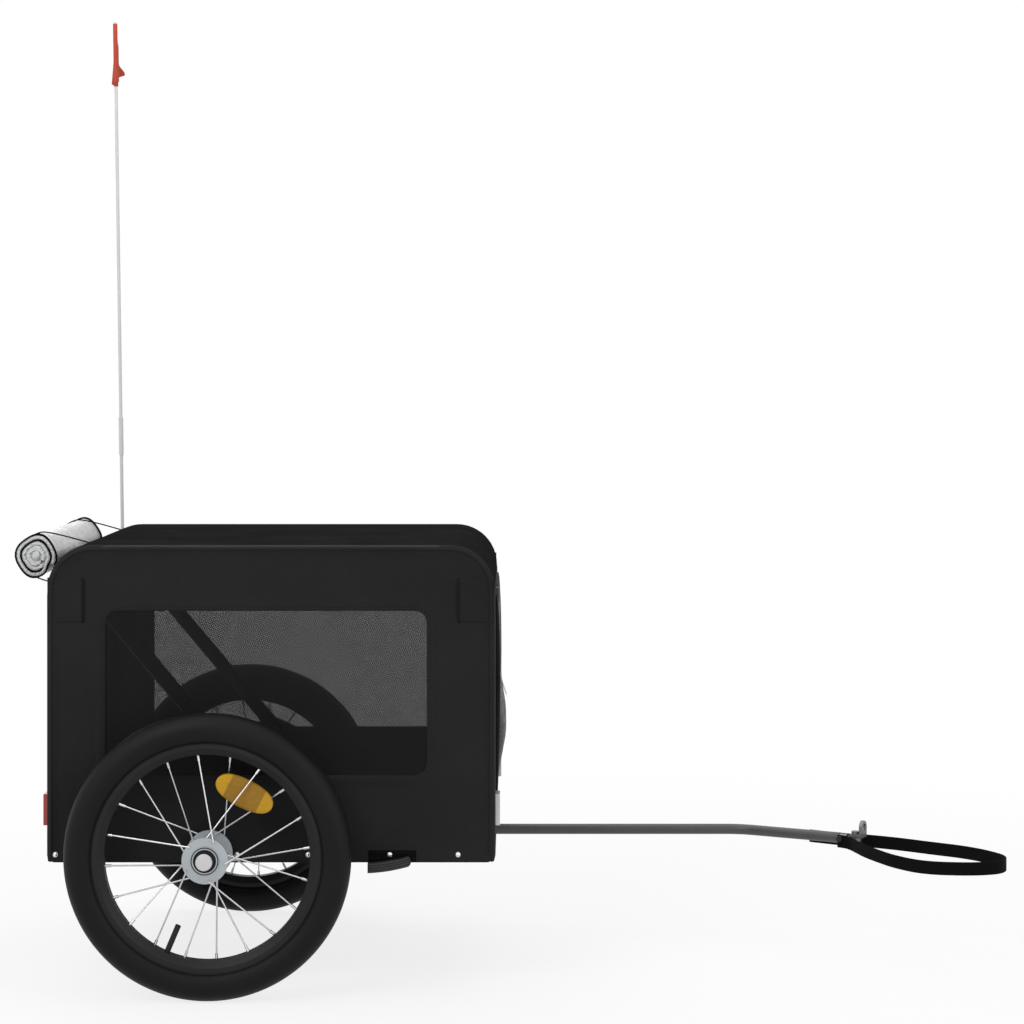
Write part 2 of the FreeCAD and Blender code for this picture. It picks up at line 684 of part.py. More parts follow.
def make_brace(side):
    """A straight tube from the hoop's rear top bend down to the side rail."""
    y = side * (PANEL_INSIDE - BRACE_DIAMETER / 2 - SEAT_GAP)
    turn = math.radians(BRACE_HEAD_ANGLE)
    bend = V(HOOP_REAR + HOOP_RADIUS, y, HOOP_TOP - HOOP_RADIUS)
    head = bend + V(math.cos(turn), 0, math.sin(turn)) * HOOP_RADIUS
    foot = V(BRACE_FOOT, y, RAIL_TOP)
    along = (foot - head).normalize()
    tube = sleeve(BRACE_DIAMETER, BRACE_DIAMETER - 2 * BRACE_WALL, head, foot + along * BRACE_DIAMETER)
    above = box(-CABIN_REAR, CABIN_FRONT, *sorted((0, side * HALF_CABIN)), RAIL_TOP, CABIN_TOP)
    points = [
        V(HOOP_REAR, side * HOOP_SIDE, RAIL_TOP), V(HOOP_REAR, side * HOOP_SIDE, HOOP_TOP),
        V(HOOP_FRONT, side * HOOP_SIDE, HOOP_TOP),
    ]
    cope = swept(HOOP_DIAMETER + 2 * SEAT_GAP, rounded_route(points, [HOOP_RADIUS]))
    pieces = tube.common(above).cut(cope).Solids
    return max(pieces, key=lambda piece: piece.Volume)


def make_top_bars():
    end = HOOP_SIDE - HOOP_DIAMETER / 2 - SEAT_GAP
    return [
        sleeve(
            TOP_BAR_DIAMETER, TOP_BAR_DIAMETER - 2 * TOP_BAR_WALL,
            V(reach, -end, HOOP_TOP), V(reach, end, HOOP_TOP),
        )
        for reach in TOP_BAR_REACHES
    ]


def make_floor_board():
    half = RAIL_INSIDE + BOARD_LAP
    board = box(-CABIN_REAR + HOOP_INSET, CABIN_FRONT - HOOP_INSET, -half, half, RAIL_TOP, RAIL_TOP + BOARD)
    for side in SIDES.values():
        board = board.cut(hoop_feet(side, HOOP_DIAMETER + 2 * BOARD_NOTCH, RAIL_TOP - OVERRUN, CABIN_TOP))
        notch_half = BRACE_DIAMETER
        inner = PANEL_INSIDE - BRACE_DIAMETER - SEAT_GAP - BOARD_NOTCH
        board = board.cut(box(
            BRACE_FOOT - notch_half, BRACE_FOOT + notch_half, *sorted((side * inner, side * HALF_CABIN)),
            RAIL_TOP - OVERRUN, CABIN_TOP,
        ))
    return board


def make_floor_mat():
    """A padded mat: its sides pull in between the corners and its top is crowned."""
    bottom = RAIL_TOP + BOARD
    margin = MAT_MARGIN + HOOP_INSET
    rear, front = -CABIN_REAR + margin, CABIN_FRONT - margin
    side = RAIL_INSIDE - MAT_MARGIN
    insets = (MAT_EDGE, 0, MAT_EDGE, MAT_CROWN)
    outlines = []
    for share, inset in zip(MAT_LEVEL_SHARES, insets):
        z = bottom + share * MAT
        corners = [
            V(rear + inset, -side + inset, z), V(front - inset, -side + inset, z),
            V(front - inset, side - inset, z), V(rear + inset, side - inset, z),
        ]
        middle = (corners[0] + corners[2]) / 2
        edges = []
        for start, end in zip(corners, corners[1:] + corners[:1]):
            inward = (middle - (start + end) / 2).normalize()
            edges.append(Part.Arc(start, (start + end) / 2 + inward * MAT_DRAW_IN, end).toShape())
        outlines.append(Part.Wire(edges))
    return Part.makeLoft(outlines, True, True)


def make_floor_and_frame():
    save("side_rails", *[make_rail(side) for side in SIDES.values()])
    save("cross_members", *make_cross_members())
    save("frame_bolts", *make_frame_bolts())
    beam_end = RAIL_INSIDE - SEAT_GAP
    save("axle_beam", sleeve(
        BEAM_DIAMETER, RECEIVER_DIAMETER + 2 * RUNNING_GAP, at_axle(-1, beam_end), at_axle(1, beam_end),
    ))
    save("axle_receivers", *[
        sleeve(
            RECEIVER_DIAMETER, AXLE_DIAMETER + 2 * RUNNING_GAP,
            at_axle(side, RAIL_INSIDE - RECEIVER_GRIP), at_axle(side, RECEIVER_END),
        )
        for side in SIDES.values()
    ])
    save("side_hoops", *[make_hoop(side) for side in SIDES.values()])
    spigots = []
    for side in SIDES.values():
        bottom = RAIL_TOP - SPIGOT_DEPTH
        feet = hoop_feet(side, SPIGOT_DIAMETER, bottom, bottom + SPIGOT_LENGTH)
        spigots += [foot.cut(BOLT_HOLES) for foot in feet]
    save("hoop_spigots", *spigots)
    save("side_braces", *[make_brace(side) for side in SIDES.values()])
    save("top_bars", *make_top_bars())
    save("floor_board", make_floor_board())
    save("floor_mat", make_floor_mat())


def make_side_panel(side):
    """One side of the cover, with its window opening and the patches sewn over its top corners."""
    y_pair = sorted((side * PANEL_INSIDE, side * HALF_CABIN))
    panel = cabin_block(0, *y_pair)
    panel = panel.cut(window_block(0, y_pair[0] - OVERRUN, y_pair[1] + OVERRUN))
    panel = panel.cut(axle_hole(side, RECEIVER_DIAMETER + 2 * SEAT_GAP)).cut(BOLT_HOLES)
    patch_pair = sorted((side * HALF_CABIN, side * (HALF_CABIN + PATCH)))
    patch_top = CABIN_TOP - PATCH_TOP_DROP
    for rear, front in ((-CABIN_REAR, -CABIN_REAR + PATCH_LENGTH), (CABIN_FRONT - PATCH_LENGTH, CABIN_FRONT)):
        patch = box(rear, front, *patch_pair, patch_top - PATCH_HEIGHT, patch_top)
        panel = panel.fuse(patch.common(cabin_block(0, *patch_pair)))
    return panel.removeSplitter()


def window_block(inset, y0, y1):
    return rounded_plate(
        -WINDOW_REAR + inset, WINDOW_FRONT - inset, WINDOW_BOTTOM + inset, WINDOW_TOP - inset,
        WINDOW_RADIUS - inset, WINDOW_RADIUS - inset, y0, y1,
    )


def upright_plate(x0, x1, half_width, z0, z1, radius):
    """A plate across the cabin with rounded corners."""
    plate = rounded_plate(-half_width, half_width, z0, z1, radius, radius, 0, x1 - x0)
    plate.rotate(V(0, 0, 0), UP, 90)
    plate.translate(V(x1, 0, 0))
    return plate


def make_end_panel(x0, x1):
    """The front or rear panel of the cover, between the side panels, with its entrance."""
    panel = box(x0, x1, -PANEL_INSIDE, PANEL_INSIDE, CABIN_BOTTOM, CABIN_TOP - CABIN_TOP_RADIUS)
    return panel.cut(upright_plate(
        x0 - OVERRUN, x1 + OVERRUN, DOOR_WIDTH / 2, DOOR_BOTTOM, DOOR_TOP, DOOR_RADIUS,
    ))


def make_front_cover():
    """The bulged clear sheet that hangs over the front entrance, as its bound edge and its film."""
    x = CABIN_FRONT + SEAT_GAP
    middle = (COVER_BOTTOM + COVER_TOP) / 2
    inner = [V(x, 0, COVER_BOTTOM), V(x + COVER_BULGE, 0, middle), V(x, 0, COVER_TOP)]
    outer = [point + FORWARD * COVER_SHEET for point in inner]
    edges = [
        Part.Arc(*inner).toShape(), Part.makeLine(inner[2], outer[2]),
        Part.Arc(*outer[::-1]).toShape(), Part.makeLine(outer[0], inner[0]),
    ]
    half = COVER_WIDTH / 2
    sheet = Part.Face(Part.Wire(edges)).extrude(V(0, COVER_WIDTH, 0))
    sheet.translate(V(0, -half, 0))
    pane = box(
        x - OVERRUN, x + COVER_BULGE + COVER_SHEET + OVERRUN, -half + COVER_BINDING, half - COVER_BINDING,
        COVER_BOTTOM + COVER_BINDING, COVER_TOP - COVER_BINDING,
    )
    save("front_cover_binding", sheet.cut(pane))
    save("front_cover_film", sheet.common(pane))


def make_zip_slider():
    y = -COVER_WIDTH / 2 - SLIDER_INSET
    x = CABIN_FRONT + SEAT_GAP
    half = SLIDER_WIDTH / 2
    waist = SLIDER_BOTTOM + SLIDER_LENGTH / 2
    body = box(x, x + SLIDER_DEPTH, y - half, y + half, waist, SLIDER_BOTTOM + SLIDER_LENGTH)
    pull = box(
        x + SLIDER_DEPTH / 2, x + SLIDER_DEPTH, y - half / 2, y + half / 2, SLIDER_BOTTOM, waist,
    )
    return body.fuse(pull).removeSplitter()


def make_roll():
    """The rolled-up rear cover: a sheet wound in half turns, open at both ends."""
    y = -ROLL_LENGTH / 2
    edge_sets = ([], [])
    for offset, edges in zip((0, ROLL_SHEET), edge_sets):
        start = ROLL_CENTRE.x - ROLL_DIAMETER / 2 + offset
        direction = 1
        pitch = ROLL_SHEET + ROLL_TURN_GAP
        span = ROLL_DIAMETER - 2 * offset
        for _ in range(ROLL_HALF_TURNS):
            end = start + direction * span
            middle = V((start + end) / 2, y, ROLL_CENTRE.z + direction * span / 2)
            edges.append(Part.Arc(V(start, y, ROLL_CENTRE.z), middle, V(end, y, ROLL_CENTRE.z)).toShape())
            start = end
            direction = -direction
            span -= pitch
    outer, inner = edge_sets
    ends = [
        Part.makeLine(outer[place].Vertexes[vertex].Point, inner[place].Vertexes[vertex].Point)
        for place, vertex in ((0, 0), (-1, -1))
    ]
    return Part.Face(Part.Wire(Part.__sortEdges__(outer + inner + ends))).extrude(V(0, ROLL_LENGTH, 0))


def make_ties():
    """Two thin cords that hold the roll: from the roof over the roll and under it to the cabin's rear."""
    ties = []
    radius = (ROLL_DIAMETER + TIE_DIAMETER) / 2 + SEAT_GAP
    arch = CABIN_TOP_RADIUS + SEAT_GAP
    for side in SIDES.values():
        across = side * TIE_SPACING / 2
        middle = V(ROLL_CENTRE.x, across, ROLL_CENTRE.z)
        corner = V(-CABIN_REAR + CABIN_TOP_RADIUS, across, CABIN_TOP - CABIN_TOP_RADIUS)

        def on_roll(turn):
            return middle + V(math.cos(turn), 0, math.sin(turn)) * radius

        ends, turns = [], []
        for angle, way in ((TIE_TOP_ANGLE, 1), (TIE_FOOT_ANGLE, -1)):
            turn = math.radians(angle)
            anchor = corner + V(math.cos(turn), 0, math.sin(turn)) * CABIN_TOP_RADIUS
            away = anchor - middle
            ends.append(anchor)
            turns.append(math.atan2(away.z, away.x) + way * math.acos(radius / away.Length))
        first, last = turns[0], turns[1] + 2 * math.pi
        path = Part.Wire([
            Part.makeLine(ends[0], on_roll(first)),
            Part.Arc(on_roll(first), on_roll((first + last) / 2), on_roll(last)).toShape(),
            Part.makeLine(on_roll(last), ends[1]),
        ])
        along = (on_roll(first) - ends[0]).normalize()
        section = Part.Wire([Part.Circle(ends[0], along, TIE_DIAMETER / 2).toShape()])
        half = LEFT * TIE_DIAMETER
        cord = path.makePipeShell([section], True, False)
        ties.append(cord.cut(rod(2 * arch, corner - half, corner + half)))
    return ties


def make_cover():
    for name, side in SIDES.items():
        save(name + "_side_panel", make_side_panel(side))
    mesh_side = HALF_CABIN - FABRIC / 2
    save("window_meshes", *[
        window_block(0, side * mesh_side - MESH / 2, side * mesh_side + MESH / 2) for side in SIDES.values()
    ])
    shell = cabin_block(0, -PANEL_INSIDE, PANEL_INSIDE).cut(
        cabin_block(FABRIC, -HALF_CABIN, HALF_CABIN)
    )
    arch_foot = CABIN_TOP - CABIN_TOP_RADIUS
    save("roof_panel", shell.common(box(
        -CABIN_REAR, CABIN_FRONT, -HALF_CABIN, HALF_CABIN, arch_foot, CABIN_TOP,
    )))
    save("front_panel", make_end_panel(CABIN_FRONT - FABRIC, CABIN_FRONT))
    save("rear_panel", make_end_panel(-CABIN_REAR, -CABIN_REAR + FABRIC))
    make_front_cover()
    save("zip_slider", make_zip_slider())
    save("rear_cover_roll", make_roll())
    save("roll_ties", *make_ties())
    y_out = PANEL_INSIDE - REFLECTOR_INSET
    for name, x0, x1 in (
        ("front_reflectors", CABIN_FRONT, CABIN_FRONT + REFLECTOR),
        ("rear_reflectors", -CABIN_REAR - REFLECTOR, -CABIN_REAR),
    ):
        save(name, *[
            box(
                x0, x1, *sorted((side * y_out, side * (y_out - REFLECTOR_WIDTH))),
                REFLECTOR_BOTTOM, REFLECTOR_TOP,
            )
            for side in SIDES.values()
        ])


def make_guide(reach):
    """A block under a cross member that the tow bar slides in."""
    top = MEMBER_FOOT
    half = GUIDE_LENGTH / 2
    side_half = GUIDE_WIDTH / 2
    block = box(
        reach - half, reach + half, BAR_SIDE - side_half, BAR_SIDE + side_half,
        BAR_HEIGHT - BAR_DIAMETER / 2 - GUIDE_FOOT, top,
    )
    bore = rod(
        BAR_DIAMETER + 2 * RUNNING_GAP, V(reach - half - OVERRUN, BAR_SIDE, BAR_HEIGHT),
        V(reach + half + OVERRUN, BAR_SIDE, BAR_HEIGHT),
    )
    return block.cut(bore)


def make_knob():
    """A lobed clamp knob whose screw bears on the tow bar from below."""
    reach = GUIDE_REACHES[1]
    tip = V(reach, BAR_SIDE, BAR_HEIGHT - BAR_DIAMETER / 2 - SEAT_GAP)
    guide_foot = BAR_HEIGHT - BAR_DIAMETER / 2 - GUIDE_FOOT
    head_top = V(reach, BAR_SIDE, guide_foot - KNOB_NECK)
    head_foot = head_top - UP * KNOB_HEIGHT
    knob = rod(KNOB_DIAMETER - KNOB_LOBE_DIAMETER, head_foot, head_top)
    for number in range(KNOB_LOBES):
        turn = 2 * math.pi * number / KNOB_LOBES
        out = V(math.cos(turn), math.sin(turn), 0) * (KNOB_DIAMETER - KNOB_LOBE_DIAMETER) * (1 / 2)
        knob = knob.fuse(rod(KNOB_LOBE_DIAMETER, head_foot + out, head_top + out))
    return knob.fuse(rod(KNOB_SCREW_DIAMETER, head_top, tip)).removeSplitter()


def make_tow_bar():
    start = V(BAR_TAIL, BAR_SIDE, BAR_HEIGHT)
    edges = rounded_route([start, BAR_CORNER, BAR_END], [BAR_BEND_RADIUS])
    return swept(BAR_DIAMETER, edges).cut(swept(BAR_DIAMETER - 2 * BAR_WALL, edges))


def strap_bolt_shank(extra):
    middle = BAR_CORNER + BAR_DIRECTION * STRAP_BOLT_PLACE
    reach = BAR_SIDEWAYS * (BAR_DIAMETER / 2 + STRAP + STRAP_PLAY)
    return rod(STRAP_BOLT_DIAMETER + extra, middle - reach, middle + reach)


def make_strap_bolt():
    bolt = strap_bolt_shank(0)
    middle = BAR_CORNER + BAR_DIRECTION * STRAP_BOLT_PLACE
    for side in SIDES.values():
        seat = middle + BAR_SIDEWAYS * side * (BAR_DIAMETER / 2 + STRAP + STRAP_PLAY)
        bolt = bolt.fuse(rod(STRAP_BOLT_HEAD_DIAMETER, seat, seat + BAR_SIDEWAYS * side * STRAP_BOLT_HEAD))
    return bolt.removeSplitter()


def bar_aligned(length0, length1, half_width, z0, z1):
    """A block along the tow bar's nose, by distances from the hitch pivot."""
    block = box(length0, length1, -half_width, half_width, z0, z1)
    block.rotate(V(0, 0, 0), UP, -BAR_BEND_ANGLE)
    block.translate(V(HITCH_PIVOT.x, HITCH_PIVOT.y, 0))
    return block


def hitch_hole(diameter, z0, z1):
    return rod(diameter, V(HITCH_PIVOT.x, HITCH_PIVOT.y, z0), V(HITCH_PIVOT.x, HITCH_PIVOT.y, z1))


def make_tongue():
    """The flat tongue, round at its tip, with a round neck that is pressed into the tow bar's nose."""
    half = TONGUE_WIDTH / 2
    shoulder = half - TONGUE_LENGTH + TONGUE_NECK
    low, high = BAR_HEIGHT - TONGUE / 2, BAR_HEIGHT + TONGUE / 2
    plate = bar_aligned(shoulder, 0, half, low, high).fuse(hitch_hole(TONGUE_WIDTH, low, high))
    neck = rod(
        BAR_DIAMETER - 2 * BAR_WALL - 2 * RUNNING_GAP, BAR_END - BAR_DIRECTION * TONGUE_GRIP,
        BAR_END + BAR_DIRECTION * (TONGUE_NECK + TONGUE / 2),
    )
    tongue = plate.fuse(neck).removeSplitter().cut(strap_bolt_shank(2 * RUNNING_GAP))
    return tongue.cut(hitch_hole(HITCH_BOLT_DIAMETER + 2 * RUNNING_GAP, low - OVERRUN, high + OVERRUN))


def make_hitch_eye():
    """An angle plate that swivels on the tongue, with the eye in its upright leg."""
    half = EYE_WIDTH / 2
    low = BAR_HEIGHT + TONGUE / 2 + RUNNING_GAP
    front = TONGUE_WIDTH / 2
    foot = bar_aligned(-EYE_FOOT / 2, front + EYE_PLATE, half, low, low + EYE_PLATE)
    leg = bar_aligned(front, front + EYE_PLATE, half, low, low + EYE_HEIGHT)
    crown = HITCH_PIVOT + BAR_DIRECTION * front
    eye_middle = V(crown.x, crown.y, low + EYE_HEIGHT)
    leg = leg.fuse(rod(EYE_WIDTH, eye_middle, eye_middle + BAR_DIRECTION * EYE_PLATE))
    plate = foot.fuse(leg).removeSplitter()
    plate = plate.cut(rod(
        EYE_HOLE_DIAMETER, eye_middle - BAR_DIRECTION * OVERRUN,
        eye_middle + BAR_DIRECTION * (EYE_PLATE + OVERRUN),
    ))
    bolt_hole = hitch_hole(HITCH_BOLT_DIAMETER + 2 * RUNNING_GAP, low - OVERRUN, low + EYE_PLATE + OVERRUN)
    return plate.cut(bolt_hole)


def make_hitch_bolt():
    low = BAR_HEIGHT - TONGUE / 2
    high = BAR_HEIGHT + TONGUE / 2 + EYE_PLATE + 2 * RUNNING_GAP
    bolt = hitch_hole(HITCH_BOLT_DIAMETER, low - HITCH_HEAD, high)
    bolt = bolt.fuse(hitch_hole(HITCH_HEAD_DIAMETER, high, high + HITCH_HEAD))
    return bolt.fuse(hitch_hole(HITCH_HEAD_DIAMETER, low - HITCH_HEAD, low)).removeSplitter()


def make_strap():
    """Flat webbing on edge, in one loop from the far side of the tow bar's nose round to the near side."""
    points = [BAR_CORNER + V(x, y, -STRAP_SAG) for x, y in STRAP_ROUTE]
    radii = []
    for before, corner, after in zip(points, points[1:], points[2:]):
        half_turn = (math.pi - (before - corner).getAngle(after - corner)) / 2
        shorter = min((before - corner).Length, (after - corner).Length)
        radii.append(STRAP_ARC_SHARE * shorter / math.tan(half_turn))
    path = Part.Wire(rounded_route(points, radii))
    along = (points[1] - points[0]).normalize()
    across = along.cross(UP).normalize()
    half_width = UP * (STRAP_WIDTH / 2)
    half = across * (STRAP / 2)
    corners = [points[0] + half + half_width, points[0] - half + half_width, points[0] - half - half_width]
    corners += [points[0] + half - half_width, corners[0]]
    strap = path.makePipeShell([Part.makePolygon(corners)], True, False)
    print("strap length", round(path.Length), "least bend radius", round(min(radii)))
    strap.rotate(BAR_CORNER + BAR_DIRECTION * STRAP_BOLT_PLACE, LEFT, STRAP_DROP_ANGLE)
    return strap.cut(strap_bolt_shank(2 * RUNNING_GAP))


def make_towing_gear():
    screw_hole = rod(
        KNOB_SCREW_DIAMETER + 2 * RUNNING_GAP, V(GUIDE_REACHES[1], BAR_SIDE, 0),
        V(GUIDE_REACHES[1], BAR_SIDE, BAR_HEIGHT),
    )
    save("tow_bar_guides", make_guide(GUIDE_REACHES[0]), make_guide(GUIDE_REACHES[1]).cut(screw_hole))
    save("tow_clamp_knob", make_knob())
    save("tow_bar", make_tow_bar())
    save("tow_tongue", make_tongue())
    save("hitch_eye", make_hitch_eye())
    save("hitch_bolt", make_hitch_bolt())
    save("strap_bolt", make_strap_bolt())
    save("safety_strap", make_strap())


def pole_point(height):
    return V(-POLE_REAR, POLE_SIDE, height)


def leaned(shape):
    """Tip a piece of the flag about the pole's foot, as the pole leans."""
    shape.rotate(pole_point(POLE_FOOT), LEFT, -POLE_LEAN)
    return shape


def make_pennant():
    """A small pennant on a sewn sleeve, with one wave across its fly."""
    top = POLE_TOP - PENNANT_TOP_GAP
    bottom = top - PENNANT_HEIGHT
    inner = POLE_DIAMETER + 2 * RUNNING_GAP
    outer = inner + 2 * PENNANT_SLEEVE
    tube = sleeve(outer, inner, pole_point(bottom), pole_point(top))
    root = POLE_SIDE + inner / 2 + PENNANT_SLEEVE / 2
    half_fly = PENNANT_FLY / 2
    lines = []
    for x in (-POLE_REAR - PENNANT / 2, -POLE_REAR + PENNANT / 2):
        lines.append([
            Part.Arc(
                V(x, root + half_fly * part, bottom), V(x + wave, root + half_fly * (part + 1 / 2), bottom),
                V(x, root + half_fly * (part + 1), bottom),
            ).toShape()
            for part, wave in ((0, PENNANT_WAVE), (1, -PENNANT_WAVE))
        ])
    ends = [
        Part.makeLine(lines[0][place].Vertexes[place].Point, lines[1][place].Vertexes[place].Point)
        for place in (0, 1)
    ]
    outline = Part.Wire(Part.__sortEdges__(lines[0] + lines[1] + ends))
    cloth = Part.Face(outline).extrude(V(0, 0, PENNANT_HEIGHT))
    x = -POLE_REAR - 2 * PENNANT_WAVE
    tip = bottom + PENNANT_TIP_SHARE * PENNANT_HEIGHT
    corners = [V(x, POLE_SIDE, bottom), V(x, POLE_SIDE, top), V(x, root + PENNANT_FLY + PENNANT_WAVE, tip)]
    pointed = Part.Face(Part.makePolygon(corners + corners[:1])).extrude(V(4 * PENNANT_WAVE, 0, 0))
    bore = rod(inner, pole_point(bottom - OVERRUN), pole_point(top + OVERRUN))
    return tube.fuse(cloth.common(pointed)).cut(bore).removeSplitter()


def make_flag():
    bore = leaned(rod(POLE_DIAMETER + 2 * RUNNING_GAP, pole_point(POLE_FOOT), pole_point(POLE_TOP)))
    holders = []
    for bottom in (HOLDER_BOTTOM, HOLDER_TOP_BOTTOM):
        half = HOLDER_DEPTH / 2
        rise = bottom + HOLDER_LENGTH / 2 - POLE_FOOT
        reach = -POLE_REAR - rise * math.tan(math.radians(POLE_LEAN))
        holder = box(
            reach - half, reach + half, HALF_CABIN, HALF_CABIN + HOLDER_DEPTH, bottom, bottom + HOLDER_LENGTH,
        )
        holders.append(holder.cut(bore))
    save("flag_holder", *holders)
    ferrule_foot = POLE_JOINT - FERRULE_LENGTH / 2
    lower = rod(POLE_DIAMETER, pole_point(POLE_FOOT), pole_point(POLE_JOINT))
    ferrule = sleeve(
        POLE_DIAMETER + 2 * FERRULE_WALL, POLE_DIAMETER, pole_point(ferrule_foot),
        pole_point(ferrule_foot + FERRULE_LENGTH),
    )
    save("flag_pole_lower", leaned(lower.fuse(ferrule).removeSplitter()))
    upper = rod(POLE_DIAMETER - 2 * RUNNING_GAP, pole_point(POLE_JOINT), pole_point(POLE_TOP))
    save("flag_pole_upper", leaned(upper))
    save("flag_pennant", leaned(make_pennant()))


def stand_point(x, y, z):
    return V(STAND_REACH + x, -STAND_PIVOT_SIDE + y, STAND_PIVOT_HEIGHT + z)


def make_stand():
    """A parking leg, folded up under the floor, that swings down on a pin along X."""
    ear_half = STAND_EAR_GAP / 2
    top = MEMBER_FOOT - STAND_PIVOT_HEIGHT
    half = STAND_EAR_WIDTH / 2
    pin_hole = rod(
        STAND_PIN_DIAMETER + 2 * RUNNING_GAP,
        stand_point(-ear_half - STAND_EAR - OVERRUN, 0, 0), stand_point(ear_half + STAND_EAR + OVERRUN, 0, 0),
    )
    ears = []
    for side in (-1, 1):
        x_pair = sorted((side * ear_half, side * (ear_half + STAND_EAR)))
        corner0, corner1 = stand_point(x_pair[0], -half, -half), stand_point(x_pair[1], half, top)
        ears.append(box(corner0.x, corner1.x, corner0.y, corner1.y, corner0.z, corner1.z))
    bridge0 = stand_point(-ear_half - STAND_EAR, -half, top - STAND_EAR / 2)
    bridge1 = stand_point(ear_half + STAND_EAR, half, top)
    bridge = box(bridge0.x, bridge1.x, bridge0.y, bridge1.y, bridge0.z, bridge1.z)
    save("stand_bracket", ears[0].fuse(ears[1]).fuse(bridge).removeSplitter().cut(pin_hole))

    reach = ear_half + STAND_EAR + RUNNING_GAP
    pin = rod(STAND_PIN_DIAMETER, stand_point(-reach, 0, 0), stand_point(reach, 0, 0))
    for side in (-1, 1):
        pin = pin.fuse(rod(
            STAND_PIN_HEAD_DIAMETER, stand_point(side * reach, 0, 0),
            stand_point(side * (reach + STAND_PIN_HEAD), 0, 0),
        ))
    save("stand_pin", pin.removeSplitter())

    shoe_face = -STAND_PIVOT_HEIGHT
    shoe_back = shoe_face + SHOE_DEPTH
    eye_half = STAND_EYE_WIDTH / 2
    eye_diameter = 2 * STAND_PIN_DIAMETER
    leg = rod(eye_diameter, stand_point(-eye_half, 0, 0), stand_point(eye_half, 0, 0))
    leg = leg.fuse(rod(STAND_LEG_DIAMETER, stand_point(0, 0, 0), stand_point(0, shoe_back, 0)))
    save("stand_leg", leg.removeSplitter().cut(pin_hole))

    rear, front = -SHOE_LENGTH / 2, SHOE_LENGTH / 2
    foot = -SHOE_DROP
    places = (
        (rear, foot), (0, foot + SHOE_RISE * SHOE_SAG_SHARE), (front - SHOE_NOSE, foot + SHOE_RISE),
    )
    sole = [stand_point(x, shoe_face, z) for x, z in places]
    back = [stand_point(x, shoe_face, z + SHOE_HEIGHT) for x, z in places]
    nose = stand_point(front, shoe_face, foot + SHOE_RISE + SHOE_HEIGHT / 2)
    edges = [
        Part.Arc(*sole).toShape(), Part.makeLine(sole[2], nose), Part.makeLine(nose, back[2]),
        Part.Arc(back[2], back[1], back[0]).toShape(), Part.makeLine(back[0], sole[0]),
    ]
    save("stand_shoe", Part.Face(Part.Wire(edges)).extrude(V(0, SHOE_DEPTH, 0)))


os.makedirs("parts", exist_ok=True)
make_wheels()
make_floor_and_frame()
make_cover()
make_towing_gear()
make_flag()
make_stand()
print("axle X", AXLE_X, "hitch pivot", HITCH_PIVOT + V(AXLE_X, 0, 0))
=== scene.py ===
import math

import bmesh
import bpy
from mathutils import Matrix, Vector, noise


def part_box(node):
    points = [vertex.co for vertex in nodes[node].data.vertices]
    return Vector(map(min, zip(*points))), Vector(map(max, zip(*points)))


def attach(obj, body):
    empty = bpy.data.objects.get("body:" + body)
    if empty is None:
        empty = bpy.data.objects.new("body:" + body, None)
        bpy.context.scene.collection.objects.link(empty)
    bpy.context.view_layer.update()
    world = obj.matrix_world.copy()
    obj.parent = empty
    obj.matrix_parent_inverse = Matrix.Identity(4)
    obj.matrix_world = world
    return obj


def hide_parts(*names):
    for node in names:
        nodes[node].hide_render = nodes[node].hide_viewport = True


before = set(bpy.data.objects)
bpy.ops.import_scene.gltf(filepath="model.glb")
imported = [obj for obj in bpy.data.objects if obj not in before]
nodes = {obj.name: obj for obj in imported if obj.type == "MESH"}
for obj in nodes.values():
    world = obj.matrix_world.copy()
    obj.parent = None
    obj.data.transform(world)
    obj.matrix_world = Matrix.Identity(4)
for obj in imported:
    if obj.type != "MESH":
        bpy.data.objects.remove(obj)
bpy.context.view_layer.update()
scene = bpy.context.scene
scene.view_settings.view_transform = "Standard"

# The trailer's main places, in metres
SIDES = {"right": -1, "left": 1}
hub_low, hub_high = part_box("right_hub")
AXLE_X = (hub_low.x + hub_high.x) / 2
panel_low, panel_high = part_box("left_side_panel")
REAR, FRONT = panel_low.x, panel_high.x
BOTTOM, TOP = panel_low.z, panel_high.z
INSIDE = panel_low.y
HALF = INSIDE + 0.002
TOP_RADIUS = 0.064
FOOT_RADIUS = 0.008
WINDOW_REAR, WINDOW_FRONT = AXLE_X - 0.149, AXLE_X + 0.303
WINDOW_BOTTOM, WINDOW_TOP = 0.306, 0.537
WINDOW_RADIUS = 0.017
DOOR_HALF, DOOR_BOTTOM, DOOR_TOP, DOOR_RADIUS = 0.202, 0.244, 0.546, 0.030
CLOTH = 0.002


# Finishes

def add_node(tree, kind, **values):
    """A shader node, with values set on its named sockets or properties."""
    node = tree.nodes.new(kind)
    for name, value in values.items():
        label = name.replace("_", " ")
        if hasattr(node, name):
            setattr(node, name, value)
        else:
            node.inputs[label].default_value = value
    return node


def sums(tree, operation, first, second=None):
    """A Math node fed by sockets or numbers; gives its output."""
    node = tree.nodes.new("ShaderNodeMath")
    node.operation = operation
    for socket, value in zip(node.inputs, (first, second)):
        if value is None:
            continue
        if isinstance(value, (int, float)):
            socket.default_value = value
        else:
            tree.links.new(value, socket)
    return node.outputs[0]


def new_group(name, inputs, outputs):
    """A shader node group with named sockets; gives its tree, its inputs and its output node."""
    tree = bpy.data.node_groups.new(name, "ShaderNodeTree")
    for label, kind, value in inputs:
        socket = tree.interface.new_socket(label, in_out="INPUT", socket_type=kind)
        if value is not None:
            socket.default_value = value
    for label, kind in outputs:
        tree.interface.new_socket(label, in_out="OUTPUT", socket_type=kind)
    return tree, tree.nodes.new("NodeGroupInput").outputs, tree.nodes.new("NodeGroupOutput").inputs


